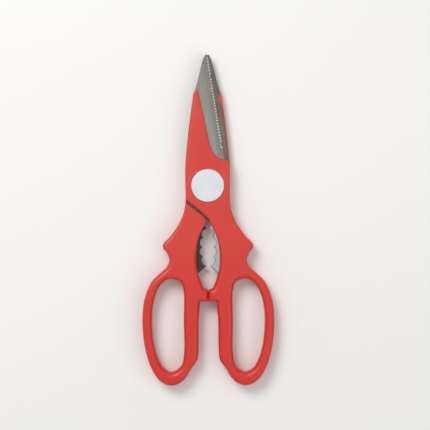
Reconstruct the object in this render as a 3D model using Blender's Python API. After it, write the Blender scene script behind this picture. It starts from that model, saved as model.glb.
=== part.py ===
"""Kitchen scissors with nutcracker jaws, lying closed on a flat surface.

Two halves turn on one pivot. Each half is a steel stamping (blade, toothed jaw and tang) with a
plastic handle moulded over it. The rear half is the front half turned 180 degrees about the long
axis, so every shape is drawn once, in the half's own frame:

    x to the side of the half's own finger loop
    y towards the blade tips, from the pivot axis
    z outwards, from the plane where the two halves meet

The sizes below are in millimetres. The model is in metres, +Z up, with its origin on the pivot
axis, level with the surface that it lies on.
"""
import bmesh
import bpy
from math import atan2, cos, hypot, inf, pi, radians, sin
from mathutils import Matrix, Vector
from mathutils.geometry import delaunay_2d_cdt

MM = 0.001

# Clearances
FIT_GAP = 0.3              # between a piece and the neighbour that holds it
BLADE_GAP = 0.3            # between the faces on which the two halves slide
RUNNING_GAP = 0.1          # round the bolt, on the radius
SEAM_GAP = 1.5             # between the pivot plate and the other handle's shoulder
SEAM_FLARE = 1.9           # how much it widens at its lower end
STOP_GAP = 0.3             # between the pads that stop the handles when they close

# Thicknesses, along z
BLADE_THICKNESS = 2.2
COVER_THICKNESS = 2.15     # plastic over the steel
CAP_PROUD = 1.2            # the pivot cap above the plastic
SPINE_WALL = 1.4           # plastic beside the blade's back

# Rounding of the plastic
COVER_ROUND = 1.2          # blade cover and pivot plate
LOOP_ROUND = 3.4           # handle and finger loop
CORNER_SETBACK = 0.8       # how far before a corner of the outline its rounding starts
RAMP_TOP = -20.0           # y where the plastic starts to thicken towards the loops
RAMP_END = -52.0           # y where it has the loops' full thickness

# Blade
BLADE_REACH = 83.2         # pivot axis to the blunt tip
TIP_WIDTH = 1.6            # flat across the tip
EDGE_AT_TIP = 0.5          # x of the straight cutting edge at the tip
EDGE_AT_HEEL = 10.85       # x of it where it goes under the plastic
HEEL_Y = 16.0
GRIND_WIDTH = 4.05         # ground bevel beside the cutting edge
EDGE_THICKNESS = 0.35      # steel left at the cutting edge
SERRATION_PITCH = 1.88     # from notch to notch, along y
SERRATION_DEPTH = 0.5
PLAIN_AT_TIP = 2.0         # cutting edge without notches, at the tip
PLAIN_AT_HEEL = 8.5        # and at the heel

# Tang, inside the handle's inner bar
TANG_X = 11.0              # its middle
TANG_WIDTH = 4.0
TANG_NECK_Y = -61.5        # where it has that width
TANG_TIP_Y = -80.0
TANG_CORNER = 1.2

# Pivot
BOLT_RADIUS = 2.5
BOLT_HEAD_RADIUS = 5.6
DRIVE_SLOT_WIDTH = 1.2
DRIVE_SLOT_DEPTH = 0.6
NUT_ACROSS_FLATS = 9.0
WASHER_RADIUS = 5.2
WASHER_THICKNESS = 0.4
WASHER_WAVE = 0.1          # height of the spring washer's waves, up and down
WASHER_WAVES = 3
BOLT_CHAMFER = 0.5
CAP_RADIUS = 10.35
CAP_FLAT_RADIUS = 6.4      # flat middle, on which the scissors lie
CAP_WALL = 1.05
CAP_DROP = 0.3             # how much lower the dome is where its rim starts to round off
CAP_RIM_ROUND = 0.45
SKIRT_RADIUS = 8.0
SKIRT_WALL = 1.0

# Handle, in plan
WAIST_X = 14.2             # axis to the side of the pivot plate
LOOP_X = 23.4              # middle of the finger loop
LOOP_Y = -85.0             # where the finger loop is widest
LOOP_HALF_WIDTH = 18.5     # from there to its outer side
HANDLE_REACH = 126.8       # pivot axis to the loop's end
LOOP_TOP_Y = -53.2         # where the loop's outer curve would close
LOOP_SQUARENESS = 2.1      # power of the loop's curve: 2 is an ellipse, more is blunter
HOLE_TOP_Y = -59.1         # top of the finger hole
OUTER_LIMB = 6.1           # thickness of the loop's outer side
END_LIMB = 8.6             # and of its end
BAR_INNER_X = 5.7          # axis to the inner bar
BAR_WIDTH = 9.95
BAR_TAPER = 1.3            # how much further from the axis the bar ends than it starts
BAR_END = 16.5             # from the loop's end up to the end of the bar's straight side
LENS_HALF_WIDTH = 7.25     # opening that the jaws stand in
LENS_FOOT = 1.3            # how far above the pads its side curve ends
HOLE_SHOULDER = 0.76       # share of the way out to the bar where the hole's corners turn
HOLE_FOOT_DROP = 3.6       # from the hole's end up to its lower shoulder
HOLE_FOOT = 11.0           # and up to the end of the bar's straight side
HOLE_HEAD_DROP = 2.2       # from the hole's top down to its upper shoulder
HOLE_HEAD = 8.0            # and down to the start of the bar's straight side
STOP_TOP = -66.2           # pads that meet when the scissors are closed
STOP_HEIGHT = 7.4
STOP_LEDGE = 0.4           # how much nearer the axis the bar starts, under the pad

# Plan outlines of one half, each listed once and shared by all that follows it.
# A run of points is a smooth curve; where two runs meet there is a corner.
COVER_PEAK = (-6.1, 60.3)
COVER_CORNER = (-8.8, 59.1)
SPINE = [COVER_CORNER, (-10.5, 46.7), (-11.7, 37.8), (-12.7, 28.9), (-13.8, 17.5),
         (-WAIST_X, 9.0), (-WAIST_X, 0.0), (-14.0, -8.6)]
SEAM = [(-13.2, -10.3), (-12.0, -11.6), (-8.8, -14.1), (-5.6, -16.7), (-2.8, -19.2), (-0.2, -21.8)]
LENS_SIDE = [(1.8, -24.4), (4.4, -29.6), (6.2, -34.8), (LENS_HALF_WIDTH, -42.5), (7.15, -50.5),
             (5.9, -57.2), (3.2, STOP_TOP + LENS_FOOT)]
LOOP_HEEL = [(8.3, 14.2 - HANDLE_REACH), (11.5, 9.9 - HANDLE_REACH), (13.9, 5.6 - HANDLE_REACH),
             (17.7, 1.9 - HANDLE_REACH)]
NOTCH = [(29.4, -54.5), (26.2, -51.3), (24.6, -47.2), (26.0, -42.8)]
SPUR = [(28.4, -39.8), (28.6, -37.2)]
FLARE = [(23.8, -32.0), (18.5, -24.4), (15.5, -17.5)]
WAIST = [(WAIST_X, -11.0), (WAIST_X, 0.0), (WAIST_X, 9.0), (14.1, 14.4)]
COVER_SIDE = [(12.5, 15.9), (8.7, 16.9), (4.6, 19.7), (2.2, 23.9), (-1.1, 37.8), (-4.2, 51.8),
              COVER_PEAK]
SPINE_NOTCH = [(-8.4, 58.9), (-6.3, 55.3), (-8.1, 51.4)]
# Share of the way from the notch up to the tip, and x
BLADE_BACK = [(0.10, -7.6), (0.26, -6.4), (0.49, -5.0), (0.70, -3.8), (0.89, -2.5)]
# Each tooth's point, and the deepest place of the hollow above it
JAW_TEETH = [((1.1, -51.0), (4.2, -47.9)), ((3.3, -44.9), (5.3, -41.9)), ((3.5, -39.0), (5.2, -36.1)),
             ((2.8, -33.0), (3.9, -30.3)), ((0.6, -27.7), None)]
JAW_HEEL = (5.9, -55.3)
JAW_ROOT = (2.3, -24.8)
TANG_BACK = [(12.8, 9.0), (12.8, -8.0), (13.6, -18.0), (16.2, -26.0), (17.4, -36.0), (16.2, -48.0)]

# Worked out from the sizes above
MATING = BLADE_GAP / 2                             # a half's own mating face
STEEL_TOP = MATING + BLADE_THICKNESS               # outer face of the steel
POCKET_TOP = STEEL_TOP + FIT_GAP                   # plastic over the steel starts here
COVER_TOP = POCKET_TOP + COVER_THICKNESS
HALF_THICKNESS = COVER_TOP + CAP_PROUD             # mating plane to the surface it lies on
HOLE_RADIUS = BOLT_RADIUS + RUNNING_GAP
STACK_START = STEEL_TOP + FIT_GAP                  # washers start here
HEAD_START = STACK_START + WASHER_THICKNESS + FIT_GAP
CAP_UNDERSIDE = HALF_THICKNESS - CAP_WALL
LOOP_SIDE_X = LOOP_X + LOOP_HALF_WIDTH
STOP_BOTTOM = STOP_TOP - STOP_HEIGHT
BAR_OUTER_X = BAR_INNER_X + BAR_WIDTH
BAR_TOP = (BAR_INNER_X - STOP_LEDGE, STOP_BOTTOM)
BAR_END_POINT = (BAR_INNER_X + BAR_TAPER, BAR_END - HANDLE_REACH)
HEAD_END = CAP_UNDERSIDE - FIT_GAP

# How finely curves are drawn
TURN_STEP = radians(11)
LONG_STEP = 11.0
RIM_STEPS = 2
ROUND_SIDES = 48
CORNER_STEPS = 3
DOME_STEPS = 3
CURVE_SPANS = 12           # samples between two points of a curve
CORNER_SHARE = 0.6         # most of a short side that the rounding of a corner may take
TOOTH_STEPS = 5
GRID_STEP = 8.0
GRID_CLEARANCE = 2.0       # between the grid's points and the outline
INSET_SHARE = 0.8          # most of the room beside an edge that its rounding may take
ROOM_STEP = 0.3            # spacing of the places that this room is measured to
ROOM_MARGIN = 8.0          # how far cutters run past what they cut


# ---------------------------------------------------------------- plan curves

def smooth(points):
    """Smooth curve through the points, with samples close together."""
    ends = [Vector(p) for p in points]
    before = 2 * ends[0] - ends[1]
    after = 2 * ends[-1] - ends[-2]
    knots = [before] + ends + [after]
    samples = []
    for p0, p1, p2, p3 in zip(knots, knots[1:], knots[2:], knots[3:]):
        t1 = (p1 - p0).length ** 0.5
        t2 = t1 + (p2 - p1).length ** 0.5
        t3 = t2 + (p3 - p2).length ** 0.5
        for step in range(CURVE_SPANS):
            t = t1 + (t2 - t1) * step / CURVE_SPANS
            a1 = p0 * (t1 - t) / t1 + p1 * t / t1
            a2 = p1 * (t2 - t) / (t2 - t1) + p2 * (t - t1) / (t2 - t1)
            a3 = p2 * (t3 - t) / (t3 - t2) + p3 * (t - t2) / (t3 - t2)
            b1 = a1 * (t2 - t) / t2 + a2 * t / t2
            b2 = a2 * (t3 - t) / (t3 - t1) + a3 * (t - t1) / (t3 - t1)
            samples.append(b1 * (t2 - t) / (t2 - t1) + b2 * (t - t1) / (t2 - t1))
    samples.append(ends[-1])
    return samples


def thinned(samples):
    """The samples that a drawn curve needs: one for each step of turn or of length."""
    kept = [samples[0]]
    turned = 0.0
    for before, here, after in zip(samples, samples[1:], samples[2:]):
        way_in = here - before
        way_out = after - here
        turned += abs(way_in.angle(way_out, 0.0))
        if turned >= TURN_STEP or (here - kept[-1]).length >= LONG_STEP:
            kept.append(here)
            turned = 0.0
    kept.append(samples[-1])
    return kept


def curve(points):
    """Drawn curve through the points; two points give a straight line."""
    if len(points) == 2:
        return [Vector(p) for p in points]
    return thinned(smooth(points))


def closed_curve(points):
    """Drawn closed curve through the points, with no corner."""
    samples = smooth(points[-2:] + points + points[:3])
    start = 2 * CURVE_SPANS
    return thinned(samples[start:start + len(points) * CURVE_SPANS + 1])[:-1]


def cut_back(run, distance):
    """The run without its last stretch of the given length."""
    run = list(run)
    while len(run) > 2 and (run[-1] - run[-2]).length <= distance:
        distance -= (run[-1] - run[-2]).length
        run.pop()
    step = run[-1] - run[-2]
    run[-1] = run[-1] - step * min(distance / step.length, CORNER_SHARE)
    return run


def joined(runs, setback):
    """Closed outline from runs that meet end to end, each corner rounded over the setback."""
    outline = []
    trimmed = []
    for run in runs:
        run = cut_back(run, setback)
        trimmed.append(cut_back(run[::-1], setback)[::-1])
    for index, run in enumerate(trimmed):
        outline += run
        corner = runs[index][-1]
        start = run[-1]
        end = trimmed[(index + 1) % len(trimmed)][0]
        for step in range(1, CORNER_STEPS):
            t = step / CORNER_STEPS
            outline.append(start * (1 - t) ** 2 + corner * 2 * t * (1 - t) + end * t ** 2)
    return outline


def shifted(run, distance):
    """Copy of an open run, moved to its left by the distance."""
    moved = []
    for index, point in enumerate(run):
        way = run[min(index + 1, len(run) - 1)] - run[max(index - 1, 0)]
        left = Vector((-way.y, way.x)).normalized()
        moved.append(point + left * distance)
    return moved


def grown(outline, distance):
    """Copy of a closed outline, moved outwards by the distance, with mitred corners."""
    moved = []
    for before, here, after in around(outline):
        side_in = (here - before).normalized()
        side_out = (after - here).normalized()
        out_in = Vector((side_in.y, -side_in.x))
        out_out = Vector((side_out.y, -side_out.x))
        middle = (out_in + out_out).normalized()
        moved.append(here + middle * distance / max(middle.dot(out_in), 0.5))
    return moved


def around(loop):
    """Each point of a closed loop with the one before and the one after it."""
    return zip(loop[-1:] + loop[:-1], loop, loop[1:] + loop[:1])


def mirrored(run):
    """The run on the other side of the long axis, still drawn in the same direction."""
    return [Vector((-p.x, p.y)) for p in run][::-1]


def circle(radius, sides=ROUND_SIDES):
    """Points of a circle round the pivot axis, counter-clockwise."""
    return [Vector((radius * cos(2 * pi * k / sides), radius * sin(2 * pi * k / sides)))
            for k in range(sides)]


def arc_through(start, middle, end, steps):
    """Points of the arc through three points, without its end."""
    ax, ay = start
    bx, by = middle
    cx, cy = end
    d = 2 * (ax * (by - cy) + bx * (cy - ay) + cx * (ay - by))
    sa = ax * ax + ay * ay
    sb = bx * bx + by * by
    sc = cx * cx + cy * cy
    ux = (sa * (by - cy) + sb * (cy - ay) + sc * (ay - by)) / d
    uy = (sa * (cx - bx) + sb * (ax - cx) + sc * (bx - ax)) / d
    radius = hypot(ax - ux, ay - uy)
    first = atan2(ay - uy, ax - ux)
    sweep = (atan2(cy - uy, cx - ux) - first) % (2 * pi)
    through = (atan2(by - uy, bx - ux) - first) % (2 * pi)
    if through > sweep:
        sweep -= 2 * pi
    return [Vector((ux + radius * cos(first + sweep * k / steps),
                    uy + radius * sin(first + sweep * k / steps))) for k in range(steps)]


# ---------------------------------------------------------------- outlines

def edge_x(y):
    """x of the straight cutting edge at y."""
    return EDGE_AT_TIP + (EDGE_AT_HEEL - EDGE_AT_TIP) * (BLADE_REACH - y) / (BLADE_REACH - HEEL_Y)


def seam_line(side):
    """The seam's edge: side 1 is the pivot plate's, side -1 the other handle's shoulder."""
    return shifted(curve(SEAM), side * SEAM_GAP / 2)


def egg(half_width, rise, fall, angles):
    """Points of the finger loop's egg shape, which rises and falls unlike amounts from its middle."""
    power = 2 / LOOP_SQUARENESS
    points = []
    for angle in angles:
        across = abs(cos(radians(angle))) ** power
        up = abs(sin(radians(angle))) ** power
        points.append((LOOP_X + half_width * across, LOOP_Y + (rise if angle > 0 else -fall) * up))
    return points


def loop_side():
    """The handle's side, from below the pad down the inner bar, round the loop and up to the cover."""
    end = LOOP_Y + HANDLE_REACH
    rise = LOOP_TOP_Y - LOOP_Y
    loop = egg(LOOP_HALF_WIDTH, rise, end, (-90, -70, -50, -30, -10, 10, 30, 50))
    bar = [BAR_TOP, (BAR_INNER_X + BAR_TAPER / 3, LOOP_Y), BAR_END_POINT]
    return bar + LOOP_HEEL + loop + NOTCH + SPUR + FLARE + WAIST


def handle_outline():
    """Plan of the moulded handle on its outer side, counter-clockwise."""
    face = STOP_GAP / 2
    plate_edge = seam_line(1)
    return joined([
        curve(SPINE),
        [Vector(SPINE[-1])] + plate_edge,
        curve([tuple(plate_edge[-1])] + LENS_SIDE),
        curve([LENS_SIDE[-1], (face, STOP_TOP)]),
        curve([(face, STOP_TOP), (face, STOP_BOTTOM)]),
        curve([(face, STOP_BOTTOM), BAR_TOP]),
        curve(loop_side()),
        curve([WAIST[-1]] + COVER_SIDE),
        curve([COVER_PEAK, COVER_CORNER]),
    ], CORNER_SETBACK)


def finger_hole():
    """Plan of the hole in the finger loop, clockwise."""
    fall = LOOP_Y + HANDLE_REACH - END_LIMB
    rise = HOLE_TOP_Y - LOOP_Y
    limb = egg(LOOP_HALF_WIDTH - OUTER_LIMB, rise, fall, (90, 68, 45, 22, 0, -22, -45, -68, -90))
    end = END_LIMB - HANDLE_REACH
    shoulder_x = LOOP_X + (BAR_OUTER_X - LOOP_X) * HOLE_SHOULDER
    side = [(shoulder_x, end + HOLE_FOOT_DROP), (BAR_OUTER_X, end + HOLE_FOOT), (BAR_OUTER_X, LOOP_Y),
            (BAR_OUTER_X, HOLE_TOP_Y - HOLE_HEAD), (shoulder_x, HOLE_TOP_Y - HOLE_HEAD_DROP)]
    return closed_curve(limb + side)


def jaw_outline():
    """The toothed side of the jaw, from its heel up to its root."""
    points = [Vector(JAW_HEEL)]
    for (cusp, hollow), (next_cusp, _) in zip(JAW_TEETH, JAW_TEETH[1:]):
        points += arc_through(cusp, hollow, next_cusp, TOOTH_STEPS)
    points.append(Vector(JAW_TEETH[-1][0]))
    points.append(Vector(JAW_ROOT))
    return points


def serrated_edge():
    """The cutting edge from heel to tip, with a small notch at each step."""
    first = HEEL_Y + PLAIN_AT_HEEL
    count = int((BLADE_REACH - PLAIN_AT_TIP - first) / SERRATION_PITCH)
    points = []
    for index in range(count + 1):
        root = first + index * SERRATION_PITCH
        crest = root + SERRATION_PITCH / 2
        points.append(Vector((edge_x(root) - SERRATION_DEPTH, root)))
        points.append(Vector((edge_x(crest), crest)))
    return points


def blade_back():
    """The blade's bare back, from the tip down to the notch that keys it to the plastic."""
    notch_x, notch_y = SPINE_NOTCH[0]
    rise = BLADE_REACH - notch_y
    points = [(x, notch_y + share * rise) for share, x in BLADE_BACK]
    return curve([(EDGE_AT_TIP - TIP_WIDTH, BLADE_REACH)] + points[::-1] + [(notch_x, notch_y)])


def tang_outline():
    """The tang, from its left side round its tip to its right side."""
    left = TANG_X - TANG_WIDTH / 2
    right = TANG_X + TANG_WIDTH / 2
    return [Vector(p) for p in ((left, TANG_NECK_Y), (left, TANG_TIP_Y + TANG_CORNER),
                                (left + TANG_CORNER, TANG_TIP_Y), (right - TANG_CORNER, TANG_TIP_Y),
                                (right, TANG_TIP_Y + TANG_CORNER), (right, TANG_NECK_Y))]


def steel_outline(serrated):
    """Plan of the stamping, counter-clockwise from the tip down its back."""
    outline = blade_back()
    outline += [Vector(p) for p in SPINE_NOTCH[1:]]
    outline += shifted(curve(SPINE[1:]), SPINE_WALL)
    outline += shifted(seam_line(1)[1:], SPINE_WALL)
    outline += jaw_outline()[::-1]
    outline += tang_outline()
    outline += curve(TANG_BACK[::-1])
    outline.append(Vector((edge_x(HEEL_Y), HEEL_Y)))
    if serrated:
        outline += serrated_edge()
    outline.append(Vector((EDGE_AT_TIP, BLADE_REACH)))
    return outline


# ---------------------------------------------------------------- solids

def left_of(before, here, after):
    """Unit direction to the left of a loop at one of its points."""
    way_in = (here - before).normalized()
    way_out = (after - here).normalized()
    return Vector((-way_in.y - way_out.y, way_in.x + way_out.x)).normalized()


def inset(loop, distances):
    """The loop with each point moved to its left by its own distance."""
    return [here + left_of(before, here, after) * distance
            for (before, here, after), distance in zip(around(loop), distances)]


def rooms(loop, loops):
    """For each point, how far it can move to its left before it meets another side."""
    sides = [(here, after) for each in loops for here, after in zip(each, each[1:] + each[:1])]
    spots = []
    for here, after in sides:
        count = max(1, round((after - here).length / ROOM_STEP))
        spots += [(here.lerp(after, k / count), here, after) for k in range(count + 1)]
    found = []
    for before, here, after in around(loop):
        left = left_of(before, here, after)
        space = inf
        for point, start, end in spots:
            away = point - here
            ahead = left.dot(away)
            if ahead > 1e-3 and start is not here and end is not here:
                space = min(space, away.length_squared / (2 * ahead))
        found.append(space * INSET_SHARE)
    return found


def inside(point, loop):
    """True if the point lies inside the closed loop."""
    hit = False
    for here, after in zip(loop, loop[1:] + loop[:1]):
        if (here.y > point.y) != (after.y > point.y):
            cross = here.x + (point.y - here.y) * (after.x - here.x) / (after.y - here.y)
            if point.x < cross:
                hit = not hit
    return hit


def filled(loops, grid=None):
    """Triangles between closed loops: the first is the outside and the others are holes."""
    points = [p for loop in loops for p in loop]
    sides = []
    start = 0
    for loop in loops:
        count = len(loop)
        sides += [(start + k, start + (k + 1) % count) for k in range(count)]
        start += count
    if grid:
        points = points + [p for p in grid if room_for(p, loops)]
    found = delaunay_2d_cdt(points, sides, [], 0, 1e-7)
    triangles = []
    for a, b, c in found[2]:
        middle = (found[0][a] + found[0][b] + found[0][c]) / 3
        if inside(middle, loops[0]) and not any(inside(middle, hole) for hole in loops[1:]):
            triangles.append(tuple(found[3][k][0] for k in (a, b, c)))
    return points, triangles


def room_for(point, loops):
    """True if a point of the grid lies inside the outline, clear of its sides."""
    if not inside(point, loops[0]) or any(inside(point, hole) for hole in loops[1:]):
        return False
    return min((point - p).length for loop in loops for p in loop) > GRID_CLEARANCE


def layered(name, loops, levels, grid=None):
    """Closed mesh from levels, each a (distance inwards, height) pair of functions of (x, y)."""
    space = [rooms(loop, loops) for loop in loops]
    shape = bmesh.new()
    rings = []
    for distance, height in levels:
        ring = []
        flat = []
        for loop, room in zip(loops, space):
            moved = inset(loop, [min(distance(p.x, p.y), r) for p, r in zip(loop, room)])
            flat.append(moved)
            ring.append([shape.verts.new((p.x * MM, p.y * MM, height(q.x, q.y) * MM))
                         for p, q in zip(moved, loop)])
        rings.append((ring, flat))
    for (low, _), (high, _) in zip(rings, rings[1:]):
        for under, over in zip(low, high):
            count = len(under)
            for k in range(count):
                after = (k + 1) % count
                shape.faces.new((under[k], under[after], over[after], over[k]))
    for (ring, flat), (_, height), upwards in ((rings[0], levels[0], False),
                                              (rings[-1], levels[-1], True)):
        points, triangles = filled(flat, grid)
        verts = [v for loop in ring for v in loop]
        verts += [shape.verts.new((p.x * MM, p.y * MM, height(p.x, p.y) * MM))
                  for p in points[len(verts):]]
        for a, b, c in triangles:
            order = (a, b, c) if upwards else (a, c, b)
            shape.faces.new([verts[k] for k in order])
    return finished(name, shape)


def slab(name, loops, low, high):
    """Flat plate between two heights."""
    return layered(name, loops, [(lambda x, y: 0.0, lambda x, y: low),
                                 (lambda x, y: 0.0, lambda x, y: high)])


def turned(name, profile, sides=ROUND_SIDES, ripple=None):
    """Closed mesh turned round the pivot axis; the profile's (radius, z) pairs run counter-clockwise
    in the (radius, z) plane. A radius of 0 is a point on the axis. ripple(angle) lifts each line."""
    shape = bmesh.new()
    lines = []
    for k in range(sides):
        angle = 2 * pi * k / sides
        lift = ripple(angle) if ripple else 0.0
        lines.append([(r * cos(angle) * MM, r * sin(angle) * MM, (z + lift) * MM) for r, z in profile])
    poles = {i: shape.verts.new((0, 0, z * MM)) for i, (r, z) in enumerate(profile) if r == 0}
    verts = [[poles[i] if i in poles else shape.verts.new(p) for i, p in enumerate(line)]
             for line in lines]
    count = len(profile)
    for k in range(sides):
        here = verts[k]
        after = verts[(k + 1) % sides]
        for i in range(count):
            j = (i + 1) % count
            if i in poles and j in poles:
                continue
            corners = [here[i], after[i], after[j], here[j]]
            shape.faces.new(list(dict.fromkeys(corners)))
    return finished(name, shape)


def finished(name, shape):
    """Mesh data from the bmesh, with its faces pointing out."""
    bmesh.ops.recalc_face_normals(shape, faces=shape.faces)
    mesh = bpy.data.meshes.new(name)
    shape.to_mesh(mesh)
    shape.free()
    return mesh


def carved(name, body, cutters):
    """Mesh of the body with the cutters taken out of it."""
    block = bpy.data.objects.new(name, body)
    bpy.context.scene.collection.objects.link(block)
    tools = []
    for index, cutter in enumerate(cutters):
        tool = bpy.data.objects.new(f"{name}_cutter_{index}", cutter)
        bpy.context.scene.collection.objects.link(tool)
        cut = block.modifiers.new(tool.name, "BOOLEAN")
        cut.operation = "DIFFERENCE"
        cut.solver = "EXACT"
        cut.object = tool
        tools.append(tool)
    bpy.context.view_layer.update()
    result = bpy.data.meshes.new_from_object(block.evaluated_get(bpy.context.evaluated_depsgraph_get()))
    result.name = name
    for used in tools + [block]:
        bpy.data.objects.remove(used)
    return result


# ---------------------------------------------------------------- pieces of one half

def ramp(y):
    """0 on the pivot plate and 1 at the loops, with a smooth change between."""
    t = min(max((RAMP_TOP - y) / (RAMP_TOP - RAMP_END), 0.0), 1.0)
    return t * t * (3 - 2 * t)


def handle_top(x, y):
    """Height of the plastic's outer face."""
    return COVER_TOP + (HALF_THICKNESS - COVER_TOP) * ramp(y)


def handle_round(x, y):
    """Radius of the plastic's rounded edges."""
    return COVER_ROUND + (LOOP_ROUND - COVER_ROUND) * ramp(y)


def rim_level(angle, upwards):
    """Level of the rounded edge at an angle: 0 on the side wall, 90 degrees on the face."""
    sign = 1 if upwards else -1
    return (lambda x, y: handle_round(x, y) * (1 - cos(angle)),
            lambda x, y: sign * (handle_top(x, y) - handle_round(x, y) * (1 - sin(angle))))


def handle_levels():
    """The handle's levels, from its lower face up to its upper face."""
    angles = [pi / 2 * k / RIM_STEPS for k in range(RIM_STEPS + 1)]
    return [rim_level(a, False) for a in reversed(angles)] + [rim_level(a, True) for a in angles]


def handle_grid():
    """Points that carry the faces' change of height, over the ramp."""
    columns = int((LOOP_SIDE_X - SPINE[0][0]) / GRID_STEP)
    rows = int((RAMP_TOP - RAMP_END) / GRID_STEP)
    return [Vector((SPINE[0][0] + column * GRID_STEP, RAMP_TOP - row * GRID_STEP))
            for column in range(columns + 1) for row in range(rows + 2)]


def other_half_room():
    """Plan of the room that the other half's pivot plate and blade turn in."""
    shoulder = mirrored(seam_line(-1))
    shoulder[0] = shoulder[0] - Vector((0, SEAM_FLARE))
    low = shoulder[0] + (shoulder[0] - shoulder[1]).normalized() * ROOM_MARGIN
    high = shoulder[-1] + (shoulder[-1] - shoulder[-2]).normalized() * ROOM_MARGIN
    side = LOOP_SIDE_X + ROOM_MARGIN
    top = BLADE_REACH + ROOM_MARGIN
    return [low] + shoulder + [high, Vector((side, high.y)), Vector((side, top)),
                               Vector((-side, top)), Vector((-side, low.y))]


def handle_mesh():
    """Plastic moulding: blade cover, pivot plate, jaw side and finger loop."""
    block = layered("handle_block", [handle_outline(), finger_hole()], handle_levels(), handle_grid())
    past = HALF_THICKNESS + ROOM_MARGIN
    room = slab("handle_room", [other_half_room()], -past, MATING)
    pocket = slab("handle_pocket", [grown(steel_outline(False), FIT_GAP)], MATING - FIT_GAP, POCKET_TOP)
    bore = slab("handle_bore", [circle(SKIRT_RADIUS + FIT_GAP)], 0.0, past)
    return carved("handle", block, [room, pocket, bore])


def grind_cutter():
    """Wedge that leaves the ground bevel on the outer side of the cutting edge."""
    tip = Vector((EDGE_AT_TIP, BLADE_REACH))
    heel = Vector((edge_x(HEEL_Y), HEEL_Y))
    along = (tip - heel).normalized()
    across = Vector((along.y, -along.x))
    rise = (BLADE_THICKNESS - EDGE_THICKNESS) / GRIND_WIDTH
    past = -GRIND_WIDTH - ROOM_MARGIN
    section = ((ROOM_MARGIN, -ROOM_MARGIN * rise), (ROOM_MARGIN, 2 * BLADE_THICKNESS - past * rise),
               (past, 2 * BLADE_THICKNESS - past * rise), (past, -past * rise))
    shape = bmesh.new()
    ends = []
    for place in (heel - along * CORNER_SETBACK, tip + along * ROOM_MARGIN):
        ring = []
        for reach, height in section:
            spot = place + across * reach
            ring.append(shape.verts.new((spot.x * MM, spot.y * MM,
                                         (MATING + EDGE_THICKNESS + height) * MM)))
        ends.append(ring)
    shape.faces.new(ends[0])
    shape.faces.new(ends[1][::-1])
    for k in range(4):
        after = (k + 1) % 4
        shape.faces.new((ends[0][after], ends[0][k], ends[1][k], ends[1][after]))
    return finished("grind", shape)


def blade_mesh(name, serrated):
    """Steel stamping with its ground bevel and its pivot hole."""
    plate = slab(name, [steel_outline(serrated), circle(HOLE_RADIUS)[::-1]], MATING, STEEL_TOP)
    return carved(name, plate, [grind_cutter()])


def cap_mesh():
    """Domed pivot cap with a skirt that goes down into the cover."""
    rim = COVER_TOP + FIT_GAP
    inner = SKIRT_RADIUS - SKIRT_WALL
    foot = STEEL_TOP + FIT_GAP
    shoulder = CAP_RADIUS - CAP_RIM_ROUND
    profile = [(0, CAP_UNDERSIDE), (inner, CAP_UNDERSIDE), (inner, foot), (SKIRT_RADIUS, foot),
               (SKIRT_RADIUS, rim), (CAP_RADIUS, rim)]
    for step in range(DOME_STEPS + 1):
        angle = pi / 2 * step / DOME_STEPS
        profile.append((shoulder + CAP_RIM_ROUND * cos(angle),
                        HALF_THICKNESS - CAP_DROP - CAP_RIM_ROUND * (1 - sin(angle))))
    for step in range(DOME_STEPS - 1, -1, -1):
        share = step / DOME_STEPS
        profile.append((CAP_FLAT_RADIUS + (shoulder - CAP_FLAT_RADIUS) * share,
                        HALF_THICKNESS - CAP_DROP * share ** 2))
    return turned("pivot_cap", profile + [(0, HALF_THICKNESS)])


def washer_mesh(name, wave):
    """Ring round the bolt, flat or waved."""
    hole = BOLT_RADIUS + FIT_GAP
    top = STACK_START + WASHER_THICKNESS
    return turned(name, [(hole, STACK_START), (WASHER_RADIUS, STACK_START), (WASHER_RADIUS, top),
                         (hole, top)], ripple=lambda angle: wave * cos(WASHER_WAVES * angle))


def bolt_mesh():
    """Slotted bolt: its head over the front blade, its end in the nut behind the rear blade."""
    shank_end = -HEAD_END + FIT_GAP
    crown = BOLT_HEAD_RADIUS - BOLT_CHAMFER
    body = turned("bolt_body", [(0, shank_end), (BOLT_RADIUS, shank_end), (BOLT_RADIUS, HEAD_START),
                                (BOLT_HEAD_RADIUS, HEAD_START),
                                (BOLT_HEAD_RADIUS, HEAD_END - BOLT_CHAMFER),
                                (crown, HEAD_END), (0, HEAD_END)])
    half = DRIVE_SLOT_WIDTH / 2
    slot = [Vector((x, y)) for x, y in ((-CAP_RADIUS, -half), (CAP_RADIUS, -half),
                                        (CAP_RADIUS, half), (-CAP_RADIUS, half))]
    return carved("pivot_bolt", body,
                  [slab("drive_slot", [slot], HEAD_END - DRIVE_SLOT_DEPTH, HALF_THICKNESS)])


def nut_mesh():
    """Hexagon nut, drawn on the outer side of its half."""
    corner = NUT_ACROSS_FLATS / 2 / cos(pi / 6)
    return slab("pivot_nut", [circle(corner, 6), circle(HOLE_RADIUS)[::-1]], HEAD_START, HEAD_END)


# ---------------------------------------------------------------- materials

def linear(*levels):
    """Colour as a shader takes it, from the 0 to 255 levels of a picture."""
    parts = [level / 255 for level in levels]
    return [p / 12.92 if p <= 0.04045 else ((p + 0.055) / 1.055) ** 2.4 for p in parts] + [1.0]


def material(name, colour, roughness, metallic):
    """Plain Principled material."""
    made = bpy.data.materials.new(name)
    made.use_nodes = True
    shader = made.node_tree.nodes["Principled BSDF"]
    shader.inputs["Base Color"].default_value = colour
    shader.inputs["Roughness"].default_value = roughness
    shader.inputs["Metallic"].default_value = metallic
    return made


def red_plastic(name):
    """Glossy red ABS of the handles."""
    return material(name, linear(204, 64, 60), 0.3, 0.0)


def white_plastic(name):
    """Cool white plastic of the caps."""
    return material(name, linear(222, 225, 231), 0.25, 0.0)


def ground_steel(name):
    """Brushed stainless steel of the blades."""
    return material(name, linear(150, 147, 141), 0.35, 1.0)


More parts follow.
